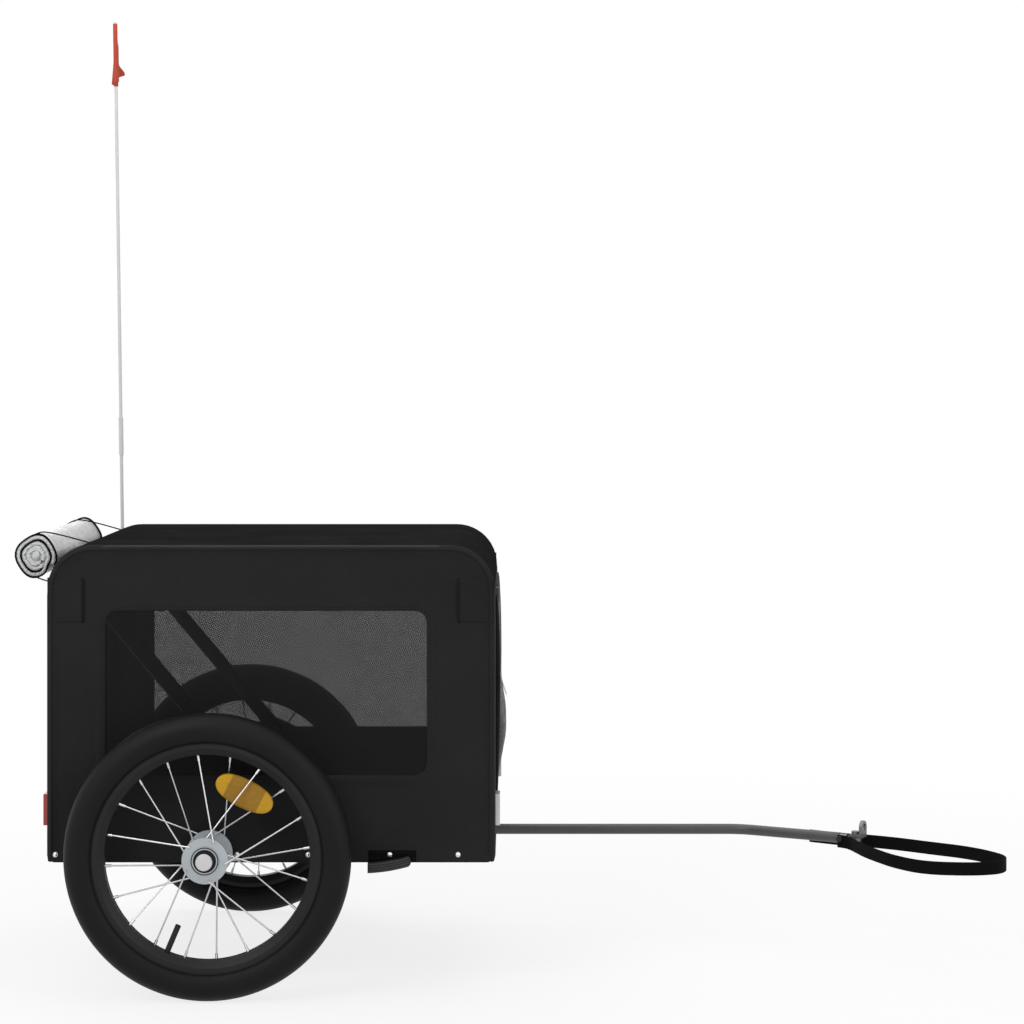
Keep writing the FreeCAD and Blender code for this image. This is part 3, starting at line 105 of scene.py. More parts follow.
def make_weave_group():
    """Plain weave: warp and weft threads that pass over and under each other."""
    tree, given, out = new_group(
        "Plain weave",
        [("Across", "NodeSocketFloat", 0.0), ("Along", "NodeSocketFloat", 0.0),
         ("Threads", "NodeSocketFloat", 900.0)],
        [("Height", "NodeSocketFloat"), ("Over", "NodeSocketFloat")],
    )
    across = sums(tree, "MULTIPLY", given["Across"], given["Threads"])
    along = sums(tree, "MULTIPLY", given["Along"], given["Threads"])
    parity = sums(tree, "ADD", sums(tree, "FLOOR", across), sums(tree, "FLOOR", along))
    over = sums(tree, "PINGPONG", parity, 1.0)
    warp = sums(tree, "SINE", sums(tree, "MULTIPLY", sums(tree, "FRACT", across), math.pi))
    weft = sums(tree, "SINE", sums(tree, "MULTIPLY", sums(tree, "FRACT", along), math.pi))
    under = sums(tree, "SUBTRACT", 1.0, over)
    height = sums(tree, "ADD", sums(tree, "MULTIPLY", warp, over), sums(tree, "MULTIPLY", weft, under))
    tree.links.new(height, out["Height"])
    tree.links.new(over, out["Over"])
    return tree


def make_mottle_group():
    """Slow change of shade over a surface, with fine grain over it."""
    tree, given, out = new_group(
        "Mottle",
        [
            ("Place", "NodeSocketVector", None), ("Dark", "NodeSocketColor", (0.02, 0.02, 0.02, 1)),
            ("Light", "NodeSocketColor", (0.05, 0.05, 0.05, 1)), ("Scale", "NodeSocketFloat", 12.0),
            ("Grain", "NodeSocketFloat", 900.0),
        ],
        [("Colour", "NodeSocketColor"), ("Value", "NodeSocketFloat"), ("Height", "NodeSocketFloat")],
    )
    slow = add_node(tree, "ShaderNodeTexNoise", Detail=4.0, Roughness=0.6)
    fine = add_node(tree, "ShaderNodeTexNoise", Detail=2.0, Roughness=0.5)
    for texture, scale in ((slow, "Scale"), (fine, "Grain")):
        tree.links.new(given["Place"], texture.inputs["Vector"])
        tree.links.new(given[scale], texture.inputs["Scale"])
    value = sums(tree, "ADD", sums(tree, "MULTIPLY", slow.outputs["Fac"], 0.6),
                 sums(tree, "MULTIPLY", fine.outputs["Fac"], 0.4))
    ramp = add_node(tree, "ShaderNodeMapRange", From_Min=0.35, From_Max=0.65)
    tree.links.new(value, ramp.inputs["Value"])
    mix = add_node(tree, "ShaderNodeMix", data_type="RGBA")
    tree.links.new(ramp.outputs["Result"], mix.inputs["Factor"])
    tree.links.new(given["Dark"], mix.inputs[6])
    tree.links.new(given["Light"], mix.inputs[7])
    tree.links.new(mix.outputs[2], out["Colour"])
    tree.links.new(ramp.outputs["Result"], out["Value"])
    tree.links.new(fine.outputs["Fac"], out["Height"])
    return tree


def make_scuff_group():
    """Thin rubbed streaks along one direction, as a mask."""
    tree, given, out = new_group(
        "Rub marks",
        [("Place", "NodeSocketVector", None), ("Stretch", "NodeSocketVector", (20.0, 400.0, 400.0)),
         ("Cover", "NodeSocketFloat", 0.6)],
        [("Mask", "NodeSocketFloat")],
    )
    scaled = add_node(tree, "ShaderNodeVectorMath", operation="MULTIPLY")
    tree.links.new(given["Place"], scaled.inputs[0])
    tree.links.new(given["Stretch"], scaled.inputs[1])
    streak = add_node(tree, "ShaderNodeTexNoise", Scale=1.0, Detail=3.0, Roughness=0.65)
    tree.links.new(scaled.outputs[0], streak.inputs["Vector"])
    ramp = add_node(tree, "ShaderNodeMapRange", From_Max=0.8)
    tree.links.new(given["Cover"], ramp.inputs["From Min"])
    tree.links.new(streak.outputs["Fac"], ramp.inputs["Value"])
    tree.links.new(ramp.outputs["Result"], out["Mask"])
    return tree


WEAVE = make_weave_group()
MOTTLE = make_mottle_group()
SCUFF = make_scuff_group()


def place_group(tree, group, **values):
    node = tree.nodes.new("ShaderNodeGroup")
    node.node_tree = group
    for label, value in values.items():
        node.inputs[label].default_value = value
    return node


def shade(red, green, blue):
    return (red, green, blue, 1.0)


def start_finish(name, dark, light, scale, grain, low_rough, high_rough, metallic=0.0):
    """A material whose colour and roughness vary by the mottle group; gives its tree and shader too."""
    material = bpy.data.materials.new(name)
    material.use_nodes = True
    tree = material.node_tree
    shader = tree.nodes["Principled BSDF"]
    shader.inputs["Metallic"].default_value = metallic
    place = tree.nodes.new("ShaderNodeTexCoord").outputs["Object"]
    mottle = place_group(tree, MOTTLE, Dark=shade(*dark), Light=shade(*light), Scale=scale, Grain=grain)
    tree.links.new(place, mottle.inputs["Place"])
    tree.links.new(mottle.outputs["Colour"], shader.inputs["Base Color"])
    rough = add_node(tree, "ShaderNodeMapRange", To_Min=low_rough, To_Max=high_rough)
    tree.links.new(mottle.outputs["Value"], rough.inputs["Value"])
    tree.links.new(rough.outputs["Result"], shader.inputs["Roughness"])
    return material, tree, shader, place, mottle


def add_bump(tree, shader, height, distance, strength=1.0):
    bump = add_node(tree, "ShaderNodeBump", Strength=strength, Distance=distance)
    tree.links.new(height, bump.inputs["Height"])
    tree.links.new(bump.outputs["Normal"], shader.inputs["Normal"])


def cloth_finish(name, axes, dark, light, threads=850.0, depth=0.00025, sheen=0.03, gloss=0.12):
    """Woven cloth, with its threads along two of the part's axes."""
    material, tree, shader, place, mottle = start_finish(name, dark, light, 9.0, 700.0, 0.72, 0.9)
    split = tree.nodes.new("ShaderNodeSeparateXYZ")
    tree.links.new(place, split.inputs[0])
    weave = place_group(tree, WEAVE, Threads=threads)
    tree.links.new(split.outputs[axes[0]], weave.inputs["Across"])
    tree.links.new(split.outputs[axes[1]], weave.inputs["Along"])
    add_bump(tree, shader, weave.outputs["Height"], depth)
    shader.inputs["Sheen Weight"].default_value = sheen
    shader.inputs["Sheen Roughness"].default_value = 0.5
    shader.inputs["Specular IOR Level"].default_value = gloss
    return material


def moulded_finish(name, dark, light, low_rough, high_rough, grain=1500.0, depth=0.0001, coat=0.0, gloss=0.5):
    """Moulded plastic, rubber or paint with a fine grain."""
    material, tree, shader, _, mottle = start_finish(name, dark, light, 14.0, grain, low_rough, high_rough)
    add_bump(tree, shader, mottle.outputs["Height"], depth)
    shader.inputs["Coat Weight"].default_value = coat
    shader.inputs["Specular IOR Level"].default_value = gloss
    return material


def metal_finish(name, dark, light, low_rough, high_rough, stretch, metallic=1.0):
    """Bare or plated metal with drawn or rubbed streaks."""
    material, tree, shader, place, _ = start_finish(
        name, dark, light, 20.0, 600.0, low_rough, high_rough, metallic)
    scuff = place_group(tree, SCUFF, Stretch=stretch)
    tree.links.new(place, scuff.inputs["Place"])
    add_bump(tree, shader, scuff.outputs["Mask"], 0.00008)
    return material


def clear_finish(name, tint, alpha, rough, depth=0.82, gloss=0.6):
    """Clear soft sheet, nearly opaque: its tint and a mottle down to a darker share of it paint the light and
    shade the sheet shows, with a little of what is behind it showing through.
    """
    material, tree, shader, _, mottle = start_finish(
        name, [depth * c for c in tint], tint, 16.0, 300.0, rough, rough + 0.12)
    add_bump(tree, shader, mottle.outputs["Value"], 0.003, 0.8)
    shader.inputs["Alpha"].default_value = alpha
    shader.inputs["Specular IOR Level"].default_value = gloss
    return material


BLACK, BLACK_HIGH = (0.0125, 0.0125, 0.0132), (0.0205, 0.0205, 0.0215)
DEEP, DEEP_HIGH = (0.006, 0.006, 0.0063), (0.0105, 0.0105, 0.011)
LENS_GRAIN, LENS_DEPTH, LENS_COAT = 500.0, 0.0004, 0.4
PLATE_STREAKS = (60.0, 60.0, 300.0)
FINISHES = {
    "side_cloth": cloth_finish("Side cloth", "XZ", BLACK, BLACK_HIGH),
    # Darker cloth for the patches' inner edges: painted shadow
    "patch_edge_painted_shadow": cloth_finish("Patch edge painted shadow", "XZ", DEEP, DEEP_HIGH),
    # The roof's own copy of the black cloth, its colour set for how the light from above falls on it: painted
    # shade, not a different cloth
    "roof_painted_shade_cloth": cloth_finish(
        "Roof cloth painted shade", "XY", (0.015, 0.015, 0.0155), (0.024, 0.024, 0.0245), sheen=0.0, gloss=0.0),
    "end_cloth": cloth_finish("End cloth", "YZ", BLACK, BLACK_HIGH),
    # Lighter cloth for the top piping: painted highlight of the roof's rounded top edge
    "piping_painted_highlight": cloth_finish(
        "Piping painted highlight", "XZ", (0.03, 0.03, 0.031), (0.042, 0.042, 0.043), 1400.0, 0.0001),
    "webbing": cloth_finish(
        "Webbing", "XZ", (0.0035, 0.0035, 0.004), (0.008, 0.008, 0.0085), 520.0, 0.0005, 0.0, 0.04),
    "net": moulded_finish("Net thread", (0.012, 0.012, 0.0125), (0.017, 0.017, 0.0175), 0.7, 0.85, gloss=0.1),
    "thread": moulded_finish(
        "Sewing thread", (0.018, 0.018, 0.019), (0.028, 0.028, 0.029), 0.6, 0.75, gloss=0.2),
    "mat_cloth": cloth_finish(
        "Mat cloth", "XY", (0.013, 0.013, 0.0135), (0.022, 0.022, 0.023), 600.0, 0.0004),
    "pennant_cloth": cloth_finish(
        "Pennant cloth", "YZ", (0.49, 0.062, 0.04), (0.66, 0.11, 0.068), 900.0, 0.0002),
    # Near-white tint with strong darker mottle: painted reflection and shade of the wound, creased clear film
    "clear_roll_painted_reflection": clear_finish("Rolled clear sheet", (0.92, 0.93, 0.93), 0.86, 0.16, 0.66),
    # Near-black tint on a nearly opaque sheet: painted shade of the dark cabin behind the clear film
    "clear_front_painted_shade": clear_finish("Front clear sheet", (0.058, 0.059, 0.06), 0.86, 0.2, gloss=0.004),
    "frame_paint": moulded_finish("Frame paint", DEEP, DEEP_HIGH, 0.5, 0.62, gloss=0.25),
    "rim_paint": moulded_finish(
        "Rim paint", (0.0095, 0.0095, 0.01), (0.0145, 0.0145, 0.015), 0.42, 0.52, gloss=0.2),
    "bar_paint": moulded_finish(
        "Tow bar paint", (0.04, 0.04, 0.041), (0.057, 0.057, 0.058), 0.36, 0.5, coat=0.1),
    "board": moulded_finish(
        "Floor board", (0.013, 0.013, 0.0135), (0.02, 0.02, 0.021), 0.55, 0.7, gloss=0.25),
    "black_plastic": moulded_finish("Black plastic", DEEP, DEEP_HIGH, 0.42, 0.55, gloss=0.3),
    "tyre_rubber": moulded_finish(
        "Tyre rubber", (0.0036, 0.0036, 0.0038), (0.0064, 0.0064, 0.0066), 0.46, 0.6, 1200.0, 0.0002,
        gloss=0.15),
    # Near-black: on the tyre a painted shade of the gap at the rim, on the hub the dark seal ring's own
    # colour
    "bead_painted_shade_and_seal": moulded_finish(
        "Bead painted shade and seal", (0.002, 0.002, 0.002), (0.004, 0.004, 0.004), 0.7, 0.8, gloss=0.1),
    "soft_rubber": moulded_finish("Soft rubber", DEEP, DEEP_HIGH, 0.5, 0.62, gloss=0.3),
    "shoe_rubber": moulded_finish(
        "Shoe rubber", (0.022, 0.022, 0.023), (0.034, 0.034, 0.035), 0.5, 0.62, gloss=0.3),
    "zinc": metal_finish("Zinc plate", (0.6, 0.61, 0.62), (0.74, 0.75, 0.76), 0.25, 0.38, PLATE_STREAKS),
    "dull_steel": metal_finish(
        "Hitch steel", (0.16, 0.16, 0.16), (0.25, 0.25, 0.25), 0.42, 0.56, PLATE_STREAKS),
    "alloy": metal_finish(
        "Hub alloy", (0.36, 0.39, 0.41), (0.44, 0.475, 0.495), 0.34, 0.46, (200.0, 30.0, 200.0), 0.85),
    "spoke_steel": metal_finish(
        "Spoke steel", (0.5, 0.5, 0.51), (0.64, 0.64, 0.65), 0.22, 0.32, (300.0, 80.0, 300.0)),
    "dark_metal": metal_finish(
        "Zip metal", (0.05, 0.05, 0.052), (0.1, 0.1, 0.1), 0.35, 0.5, (200.0, 200.0, 40.0)),
    "grey_plastic": moulded_finish(
        "Button plastic", (0.56, 0.55, 0.56), (0.64, 0.63, 0.64), 0.34, 0.46, coat=0.1),
    # Light grey for the small front tab: painted highlight
    "tab_painted_highlight": moulded_finish("Tab painted highlight", (0.42, 0.42, 0.42), (0.52, 0.52, 0.52), 0.4, 0.5),
    "pole": moulded_finish("Pole", (0.66, 0.66, 0.66), (0.74, 0.74, 0.74), 0.35, 0.45),
    "amber": moulded_finish(
        "Amber lens", (0.42, 0.22, 0.006), (0.56, 0.31, 0.010), 0.14, 0.24, LENS_GRAIN, LENS_DEPTH,
        gloss=0.25),
    "amber_middle": moulded_finish(
        "Amber lens middle", (0.26, 0.135, 0.015), (0.33, 0.175, 0.022), 0.2, 0.3, LENS_GRAIN, LENS_DEPTH,
        gloss=0.15),
    "red_lens": moulded_finish(
        "Red lens", (0.3, 0.012, 0.01), (0.42, 0.02, 0.015), 0.1, 0.2, LENS_GRAIN, LENS_DEPTH, LENS_COAT),
    "white_lens": moulded_finish(
        "White lens", (0.56, 0.57, 0.57), (0.7, 0.71, 0.71), 0.1, 0.2, LENS_GRAIN, LENS_DEPTH, LENS_COAT),
}


def paint(piece, finish):
    piece.data.materials.clear()
    piece.data.materials.append(FINISHES[finish])


def second_finish(piece, finish, where):
    """Gives another finish to the faces whose number passes a test."""
    piece.data.materials.append(FINISHES[finish])
    for face in piece.data.polygons:
        face.material_index = 1 if where(face.index) else 0


# Mesh helpers

def add_piece(name, data, finish, body, smooth=True):
    """Puts a mesh or curve in the scene, with its finish, body and material slot."""
    piece = bpy.data.objects.new(name, data)
    scene.collection.objects.link(piece)
    paint(piece, finish)
    if smooth and piece.type == "MESH":
        for face in data.polygons:
            face.use_smooth = True
    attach(piece, body)
    return piece


def mesh_of(name, points, faces):
    data = bpy.data.meshes.new(name)
    data.from_pydata([tuple(point) for point in points], [], faces)
    data.validate()
    work = bmesh.new()
    work.from_mesh(data)
    close_mesh(work, data)
    return data


def close_mesh(work, data):
    """Turns the faces outward and writes the work back to its mesh."""
    bmesh.ops.recalc_face_normals(work, faces=work.faces)
    work.to_mesh(data)
    work.free()


def rows_mesh(name, rows, closed_along=False, closed_across=False, cap=False):
    """Quads between rows of points; a row may close on itself, and the last row may join the first."""
    count = len(rows[0])
    points = [point for row in rows for point in row]
    faces = []
    row_steps = len(rows) if closed_across else len(rows) - 1
    steps = count if closed_along else count - 1
    for row in range(row_steps):
        first, second = row * count, (row + 1) % len(rows) * count
        for step in range(steps):
            after = (step + 1) % count
            faces.append((first + step, first + after, second + after, second + step))
    if cap:
        faces.append(tuple(range(count)))
        faces.append(tuple((len(rows) - 1) * count + step for step in range(count)))
    return mesh_of(name, points, faces)


def add_rows(name, rows, finish, body, slot, smooth=True, **closing):
    """A piece made of rows of points, closed as rows_mesh says."""
    return add_piece(name, rows_mesh(name, rows, **closing), finish, body, smooth)


def circle(radius, count):
    turns = [2 * math.pi * k / count for k in range(count)]
    return [(radius * math.cos(turn), radius * math.sin(turn)) for turn in turns]


def rounded_loop(x0, x1, z0, z1, foot, top, arc=6, run=10):
    """A rounded rectangle, with as many points whatever its size."""
    corners = (
        (x1 - foot, z0 + foot, foot, -90), (x1 - top, z1 - top, top, 0),
        (x0 + top, z1 - top, top, 90), (x0 + foot, z0 + foot, foot, 180),
    )

    def on_arc(corner, share):
        x, z, radius, angle = corner
        turn = math.radians(angle + 90 * share)
        return Vector((x + radius * math.cos(turn), z + radius * math.sin(turn)))

    points = []
    for corner, following in zip(corners, corners[1:] + corners[:1]):
        points += [on_arc(corner, step / arc) for step in range(arc + 1)]
        end = on_arc(following, 0)
        start = points[-1]
        points += [start.lerp(end, step / run) for step in range(1, run)]
    return points


def grown(box_sides, by):
    """A rounded rectangle's measures, drawn out by a distance."""
    x0, x1, z0, z1, foot, top = box_sides
    return (x0 - by, x1 + by, z0 - by, z1 + by, max(foot + by, 0.0005), max(top + by, 0.0005))


def edge_row(place, sides, by, lift):
    """Points round a rounded rectangle drawn out by a distance, put in place with their lift."""
    return [place(p.x, p.y, lift) for p in rounded_loop(*grown(sides, by))]


def thicken(piece, thickness, offset=-1.0):
    solid = piece.modifiers.new("thickness", "SOLIDIFY")
    solid.thickness = thickness
    solid.offset = offset


def ripple(x, z, seed, size):
    """A small swell of loose cloth, never inward."""
    return size * max(0.0, noise.noise(Vector((x * 6.0, z * 6.0, seed))) + 0.25)


def opened_panel(outline, opening, place, seed, swell=0.0012):
    """Rows of a cloth panel with an opening: a turned hem at the opening and at the edge, and loose cloth
    between. place(a, b, lift) gives the point for a place on the panel, lifted off it."""
    hem, edge, fold, flat = 0.012, 0.010, 0.0012, 0.0001
    hem_lift, edge_lift = 0.0011, 0.0008
    rows = [edge_row(place, opening, by, lift) for by, lift in (
        (0.0, 0.0002), (fold, hem_lift), (hem - 0.0015, hem_lift), (hem, flat),
    )]
    inner, outer = rounded_loop(*grown(opening, hem)), rounded_loop(*grown(outline, -edge))
    for step in range(1, 8):
        share = step / 8
        line = [a.lerp(b, share) for a, b in zip(inner, outer)]
        mask = math.sin(math.pi * share)
        rows.append([place(p.x, p.y, flat + mask * ripple(p.x, p.y, seed, swell)) for p in line])
    rows += [edge_row(place, outline, by, lift) for by, lift in (
        (-edge, flat), (fold - edge, edge_lift), (-fold, edge_lift), (0.0, 0.0),
    )]
    return rows


def round_line(name, places, radius, steps, rings=2):
    """A curve with a round section along a smooth line, drawn by its control points."""
    curve = bpy.data.curves.new(name, "CURVE")
    curve.dimensions = "3D"
    curve.bevel_depth = radius
    curve.bevel_resolution = rings
    curve.resolution_u = steps
    curve.use_fill_caps = True
    line = curve.splines.new("NURBS")
    line.points.add(len(places) - 1)
    for point, place in zip(line.points, places):
        point.co = (*place, 1.0)
    line.order_u = 3
    line.use_endpoint_u = True
    return curve


def tube(name, places, radius, finish, body):
    """A round cord along a smooth line, as a mesh."""
    curve = round_line(name, places, radius, 6)
    holder = bpy.data.objects.new(name + "_line", curve)
    scene.collection.objects.link(holder)
    data = bpy.data.meshes.new_from_object(holder.evaluated_get(bpy.context.evaluated_depsgraph_get()))
    bpy.data.objects.remove(holder)
    bpy.data.curves.remove(curve)
    data.name = name
    add_piece(name, data, finish, body)


STITCH_PITCH, STITCH_LENGTH, STITCH_WIDTH = 0.0055, 0.0036, 0.0008


def stitches(name, lines, off, body):
    """Rows of sewn stitches along lines of points, on cloth that faces off."""
    points, faces = [], []
    for line in lines:
        left = 0.0
        for start, end in zip(line, line[1:]):
            along = end - start
            run = along.length
            if run < 1e-6:
                continue
            along.normalize()
            side = along.cross(off).normalized() * (STITCH_WIDTH / 2)
            at = left
            while at + STITCH_LENGTH <= run:
                a = start + along * at
                b = a + along * STITCH_LENGTH
                middle = (a + b) / 2
                base = len(points)
                points += [a, b, middle + side, middle - side,
                           middle + off * (STITCH_WIDTH * 0.7), middle - off * (STITCH_WIDTH * 0.4)]
                faces += [tuple(base + k for k in f) for f in (
                    (0, 2, 4), (2, 1, 4), (1, 3, 4), (3, 0, 4), (2, 0, 5), (1, 2, 5), (3, 1, 5), (0, 3, 5),
                )]
                at += STITCH_PITCH
            left = at - run if at > run else 0.0
    add_piece(name, mesh_of(name, points, faces), "thread", body, smooth=False)


# Camera, light and floor

PHOTO_PIXELS, FOCAL_PIXELS, SENSOR = 1024.0, 2800.0, 36.0
LIGHTS = (
    ("key_light", (-2.4, -3.4, 3.6), 2.6, 90.0),
    ("fill_light", (3.0, -2.8, 2.2), 2.6, 45.0),
    ("top_light", (0.0, 0.6, 4.2), 3.0, 50.0),
    ("back_light", (-1.5, 3.6, 2.6), 2.4, 40.0),
)
LIGHT_AIM = Vector((-0.1, 0.0, 0.35))
FLOOR_REACH = 14.0


def seen_rays(tree):
    """One where the eye looks straight, through a clear piece or by a reflection; nought for light itself."""
    rays = tree.nodes.new("ShaderNodeLightPath").outputs
    clear = sums(tree, "MAXIMUM", rays["Is Transmission Ray"], rays["Is Glossy Ray"])
    return sums(tree, "MAXIMUM", rays["Is Camera Ray"], clear)


def set_camera():
    camera_data = bpy.data.cameras.new("camera")
    camera_data.sensor_width = SENSOR
    camera_data.lens = FOCAL_PIXELS / PHOTO_PIXELS * SENSOR
    camera_data.clip_end = 100.0
    camera_data.shift_y = -0.1386
    camera = bpy.data.objects.new("camera", camera_data)
    camera.location = (AXLE_X + 0.423, -4.211, 0.876)
    camera.rotation_euler = (math.radians(90.0), 0.0, 0.0)
    scene.collection.objects.link(camera)
    scene.camera = camera


def set_light():
    """Four soft lights, and a backdrop that is white to the eye and dimmer as a light."""
    for name, place, size, power in LIGHTS:
        lamp = bpy.data.lights.new(name, "AREA")
        lamp.size = size
        lamp.energy = power
        holder = bpy.data.objects.new(name, lamp)
        holder.location = place
        holder.rotation_euler = (LIGHT_AIM - Vector(place)).to_track_quat("-Z", "Y").to_euler()
        scene.collection.objects.link(holder)

    world = bpy.data.worlds.new("studio")
    world.use_nodes = True
    scene.world = world
    tree = world.node_tree
    backdrop = tree.nodes["Background"]
    backdrop.inputs["Color"].default_value = shade(1, 1, 1)
    strength = sums(tree, "ADD", sums(tree, "MULTIPLY", seen_rays(tree), 0.6), 0.4)
    tree.links.new(strength, backdrop.inputs["Strength"])


def set_floor():
    """A pale floor that fades into the white backdrop away from the part."""
    data = bpy.data.meshes.new("floor")
    corners = [(x * FLOOR_REACH, y * FLOOR_REACH, 0) for x, y in ((-1, -1), (1, -1), (1, 1), (-1, 1))]
    data.from_pydata(corners, [], [(0, 1, 2, 3)])
    floor = bpy.data.objects.new("floor", data)
    floor.location.z = -0.0005
    scene.collection.objects.link(floor)
    material = bpy.data.materials.new("Studio floor")
    material.use_nodes = True
    tree = material.node_tree
    shader = tree.nodes["Principled BSDF"]
    shader.inputs["Base Color"].default_value = shade(0.9, 0.9, 0.9)
    shader.inputs["Roughness"].default_value = 0.9
    glow = add_node(tree, "ShaderNodeEmission", Strength=1.0)
    blend = tree.nodes.new("ShaderNodeMixShader")
    place = tree.nodes.new("ShaderNodeTexCoord").outputs["Object"]
    length = add_node(tree, "ShaderNodeVectorMath", operation="LENGTH")
    tree.links.new(place, length.inputs[0])
    fade = add_node(tree, "ShaderNodeMapRange", interpolation_type="SMOOTHSTEP", From_Min=0.9, From_Max=2.2,
                    To_Min=0.8)
    tree.links.new(length.outputs["Value"], fade.inputs["Value"])
    tree.links.new(sums(tree, "MULTIPLY", seen_rays(tree), fade.outputs["Result"]), blend.inputs["Fac"])
    tree.links.new(shader.outputs[0], blend.inputs[1])
    tree.links.new(glow.outputs[0], blend.inputs[2])
    tree.links.new(blend.outputs[0], tree.nodes["Material Output"].inputs["Surface"])
    data.materials.append(material)


# Safety strap: its route in plan, in millimetres from the tow bar's bend

STRAP_ROUTE = (
    (104.3, -47.0), (129.0, -60.7), (159.8, -76.7), (182.4, -78.5), (233.0, -101.0), (281.0, -134.0),
    (321.0, -157.0), (353.0, -191.0), (376.0, -238.0), (364.0, -278.0), (336.0, -298.0), (296.0, -308.0),
    (242.0, -305.0), (207.0, -263.0), (188.0, -217.0), (172.5, -173.0), (165.0, -137.0), (158.2, -106.5),
    (151.4, -96.1), (142.6, -89.8),
)
BAR_BEND = Vector((AXLE_X + 0.779, 0.165, 0.155))
STRAP_BOLT_REACH = 151.0
STRAP_DROP = math.tan(math.radians(1.6))


def make_strap():
    """Flat webbing on edge, looped from one side of the tow bar's nose to the other."""
    places = [BAR_BEND + Vector((x, y, (STRAP_BOLT_REACH - x) * STRAP_DROP)) / 1000 for x, y in STRAP_ROUTE]
    curve = round_line("safety_webbing", places, 0.0010, 8)
    curve.twist_mode = "Z_UP"
    curve.extrude = 0.0088
    strap = add_piece("safety_webbing", curve, "webbing", "tow_bar")
    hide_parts("safety_strap")
    tuple(places[0])


# Cover

SIDE_OUTLINE = (REAR + 0.003, FRONT - 0.003, BOTTOM, TOP - 0.005, FOOT_RADIUS, TOP_RADIUS - 0.004)
WINDOW = (WINDOW_REAR, WINDOW_FRONT, WINDOW_BOTTOM, WINDOW_TOP, WINDOW_RADIUS, WINDOW_RADIUS)
PATCH_LENGTH, PATCH_HEIGHT, PATCH_TOP, PATCH_SEAM = 0.052, 0.064, TOP - 0.046, 0.004
EDGE_ROUND, UNDER_ROUND = 0.006, 0.005
PIPING_RADIUS, PIPING_INSET, PIPING_Y = 0.0022, 0.0062, HALF + 0.0004


def make_side_cloth(name, side):
    """One side of the cover, with its window, sewn corner patches and stitching."""
    def place(x, z, lift):
        return Vector((x, side * (HALF + lift), z))

    rows = opened_panel(SIDE_OUTLINE, WINDOW, place, 3.0 + side)
    piece = add_rows(name + "_side_cloth", rows, "side_cloth", "chassis", "black_fabric", closed_along=True)
    thicken(piece, CLOTH)
    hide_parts(name + "_side_panel")

    seams = [edge_row(place, sides, by, lift) for sides, by, lift in (
        (WINDOW, 0.0035, 0.0013), (WINDOW, 0.0085, 0.0013), (SIDE_OUTLINE, -0.006, 0.0010),
    )]
    for end, start in (("rear", REAR + 0.001), ("front", FRONT - PATCH_LENGTH - 0.001)):
        make_patch(name, end, start, place)
        x0, x1 = start + PATCH_SEAM, start + PATCH_LENGTH - PATCH_SEAM
        z0, z1 = PATCH_TOP - PATCH_HEIGHT + PATCH_SEAM, PATCH_TOP - PATCH_SEAM
        seams.append([place(x, z, 0.0030) for x, z in ((x0, z0), (x1, z0), (x1, z1), (x0, z1))])
    stitches(name + "_side_stitching", [seam + seam[:1] for seam in seams], Vector((0, side, 0)), "chassis")


def make_patch(name, end, start, place):
    """A patch sewn over a top corner of the side: flush with the cloth, but for its raised inner edge, whose
    row of faces is a darker cloth as a painted shadow line.
    """
    steps = 12
    rows = []
    for i in range(steps + 1):
        row = []
        for k in range(steps + 1):
            u, v = i / steps, k / steps
            inward = u if end == "rear" else 1 - u
            lift = 0.0004 + 0.0022 * inward ** 2 * min(1.0, min(v, 1 - v) * 8)
            row.append(place(start + PATCH_LENGTH * u, PATCH_TOP - PATCH_HEIGHT * v, lift))
        rows.append(row)
    piece = add_rows(name + "_" + end + "_patch", rows, "side_cloth", "chassis", "black_fabric")
    # The inner edge's row of faces takes a darker cloth: a painted shadow line along the raised edge
    inner = steps - 1 if end == "rear" else 0
    second_finish(piece, "patch_edge_painted_shadow", lambda face: face // steps == inner)
    thicken(piece, 0.0010)


def make_net(name, side):
    """A fine net: crossed threads, cut on the bias, held between the panel's two layers."""
    pitch, width, thickness, bias = 0.00075, 0.00036, 0.00020, 22.5
    half = Vector((WINDOW_FRONT - WINDOW_REAR, WINDOW_TOP - WINDOW_BOTTOM)) / 2
    middle = Vector((WINDOW_REAR, WINDOW_BOTTOM)) + half
    points, faces = [], []
    for quarter in (0, 1):
        turn = math.radians(90 * quarter + bias * side)
        along = Vector((math.cos(turn), math.sin(turn)))
        aside = Vector((-along.y, along.x))
        reach = abs(half.x * aside.x) + abs(half.y * aside.y)
        y0 = side * (HALF - CLOTH / 2) - thickness * (1 - quarter)
        count = int(reach / pitch)
        for number in range(-count, count + 1):
            foot = aside * number * pitch
            spans = [sorted(((-h - f) / d, (h - f) / d)) for h, f, d in zip(half, foot, along)]
            start, end = max(spans[0][0], spans[1][0]), min(spans[0][1], spans[1][1])
            if end - start < pitch:
                continue
            base = len(points)
            for t in (start, end):
                for across in (-width / 2, width / 2):
                    at = middle + foot + along * t + aside * across
                    points += [Vector((at.x, y0, at.y)), Vector((at.x, y0 + thickness, at.y))]
            faces += [tuple(base + k for k in face) for face in (
                (0, 1, 3, 2), (4, 6, 7, 5), (0, 4, 5, 1), (2, 3, 7, 6), (0, 2, 6, 4), (1, 5, 7, 3),
            )]
    title = name + "_window_net"
    return add_piece(title, mesh_of(title, points, faces), "net", "chassis", smooth=False)


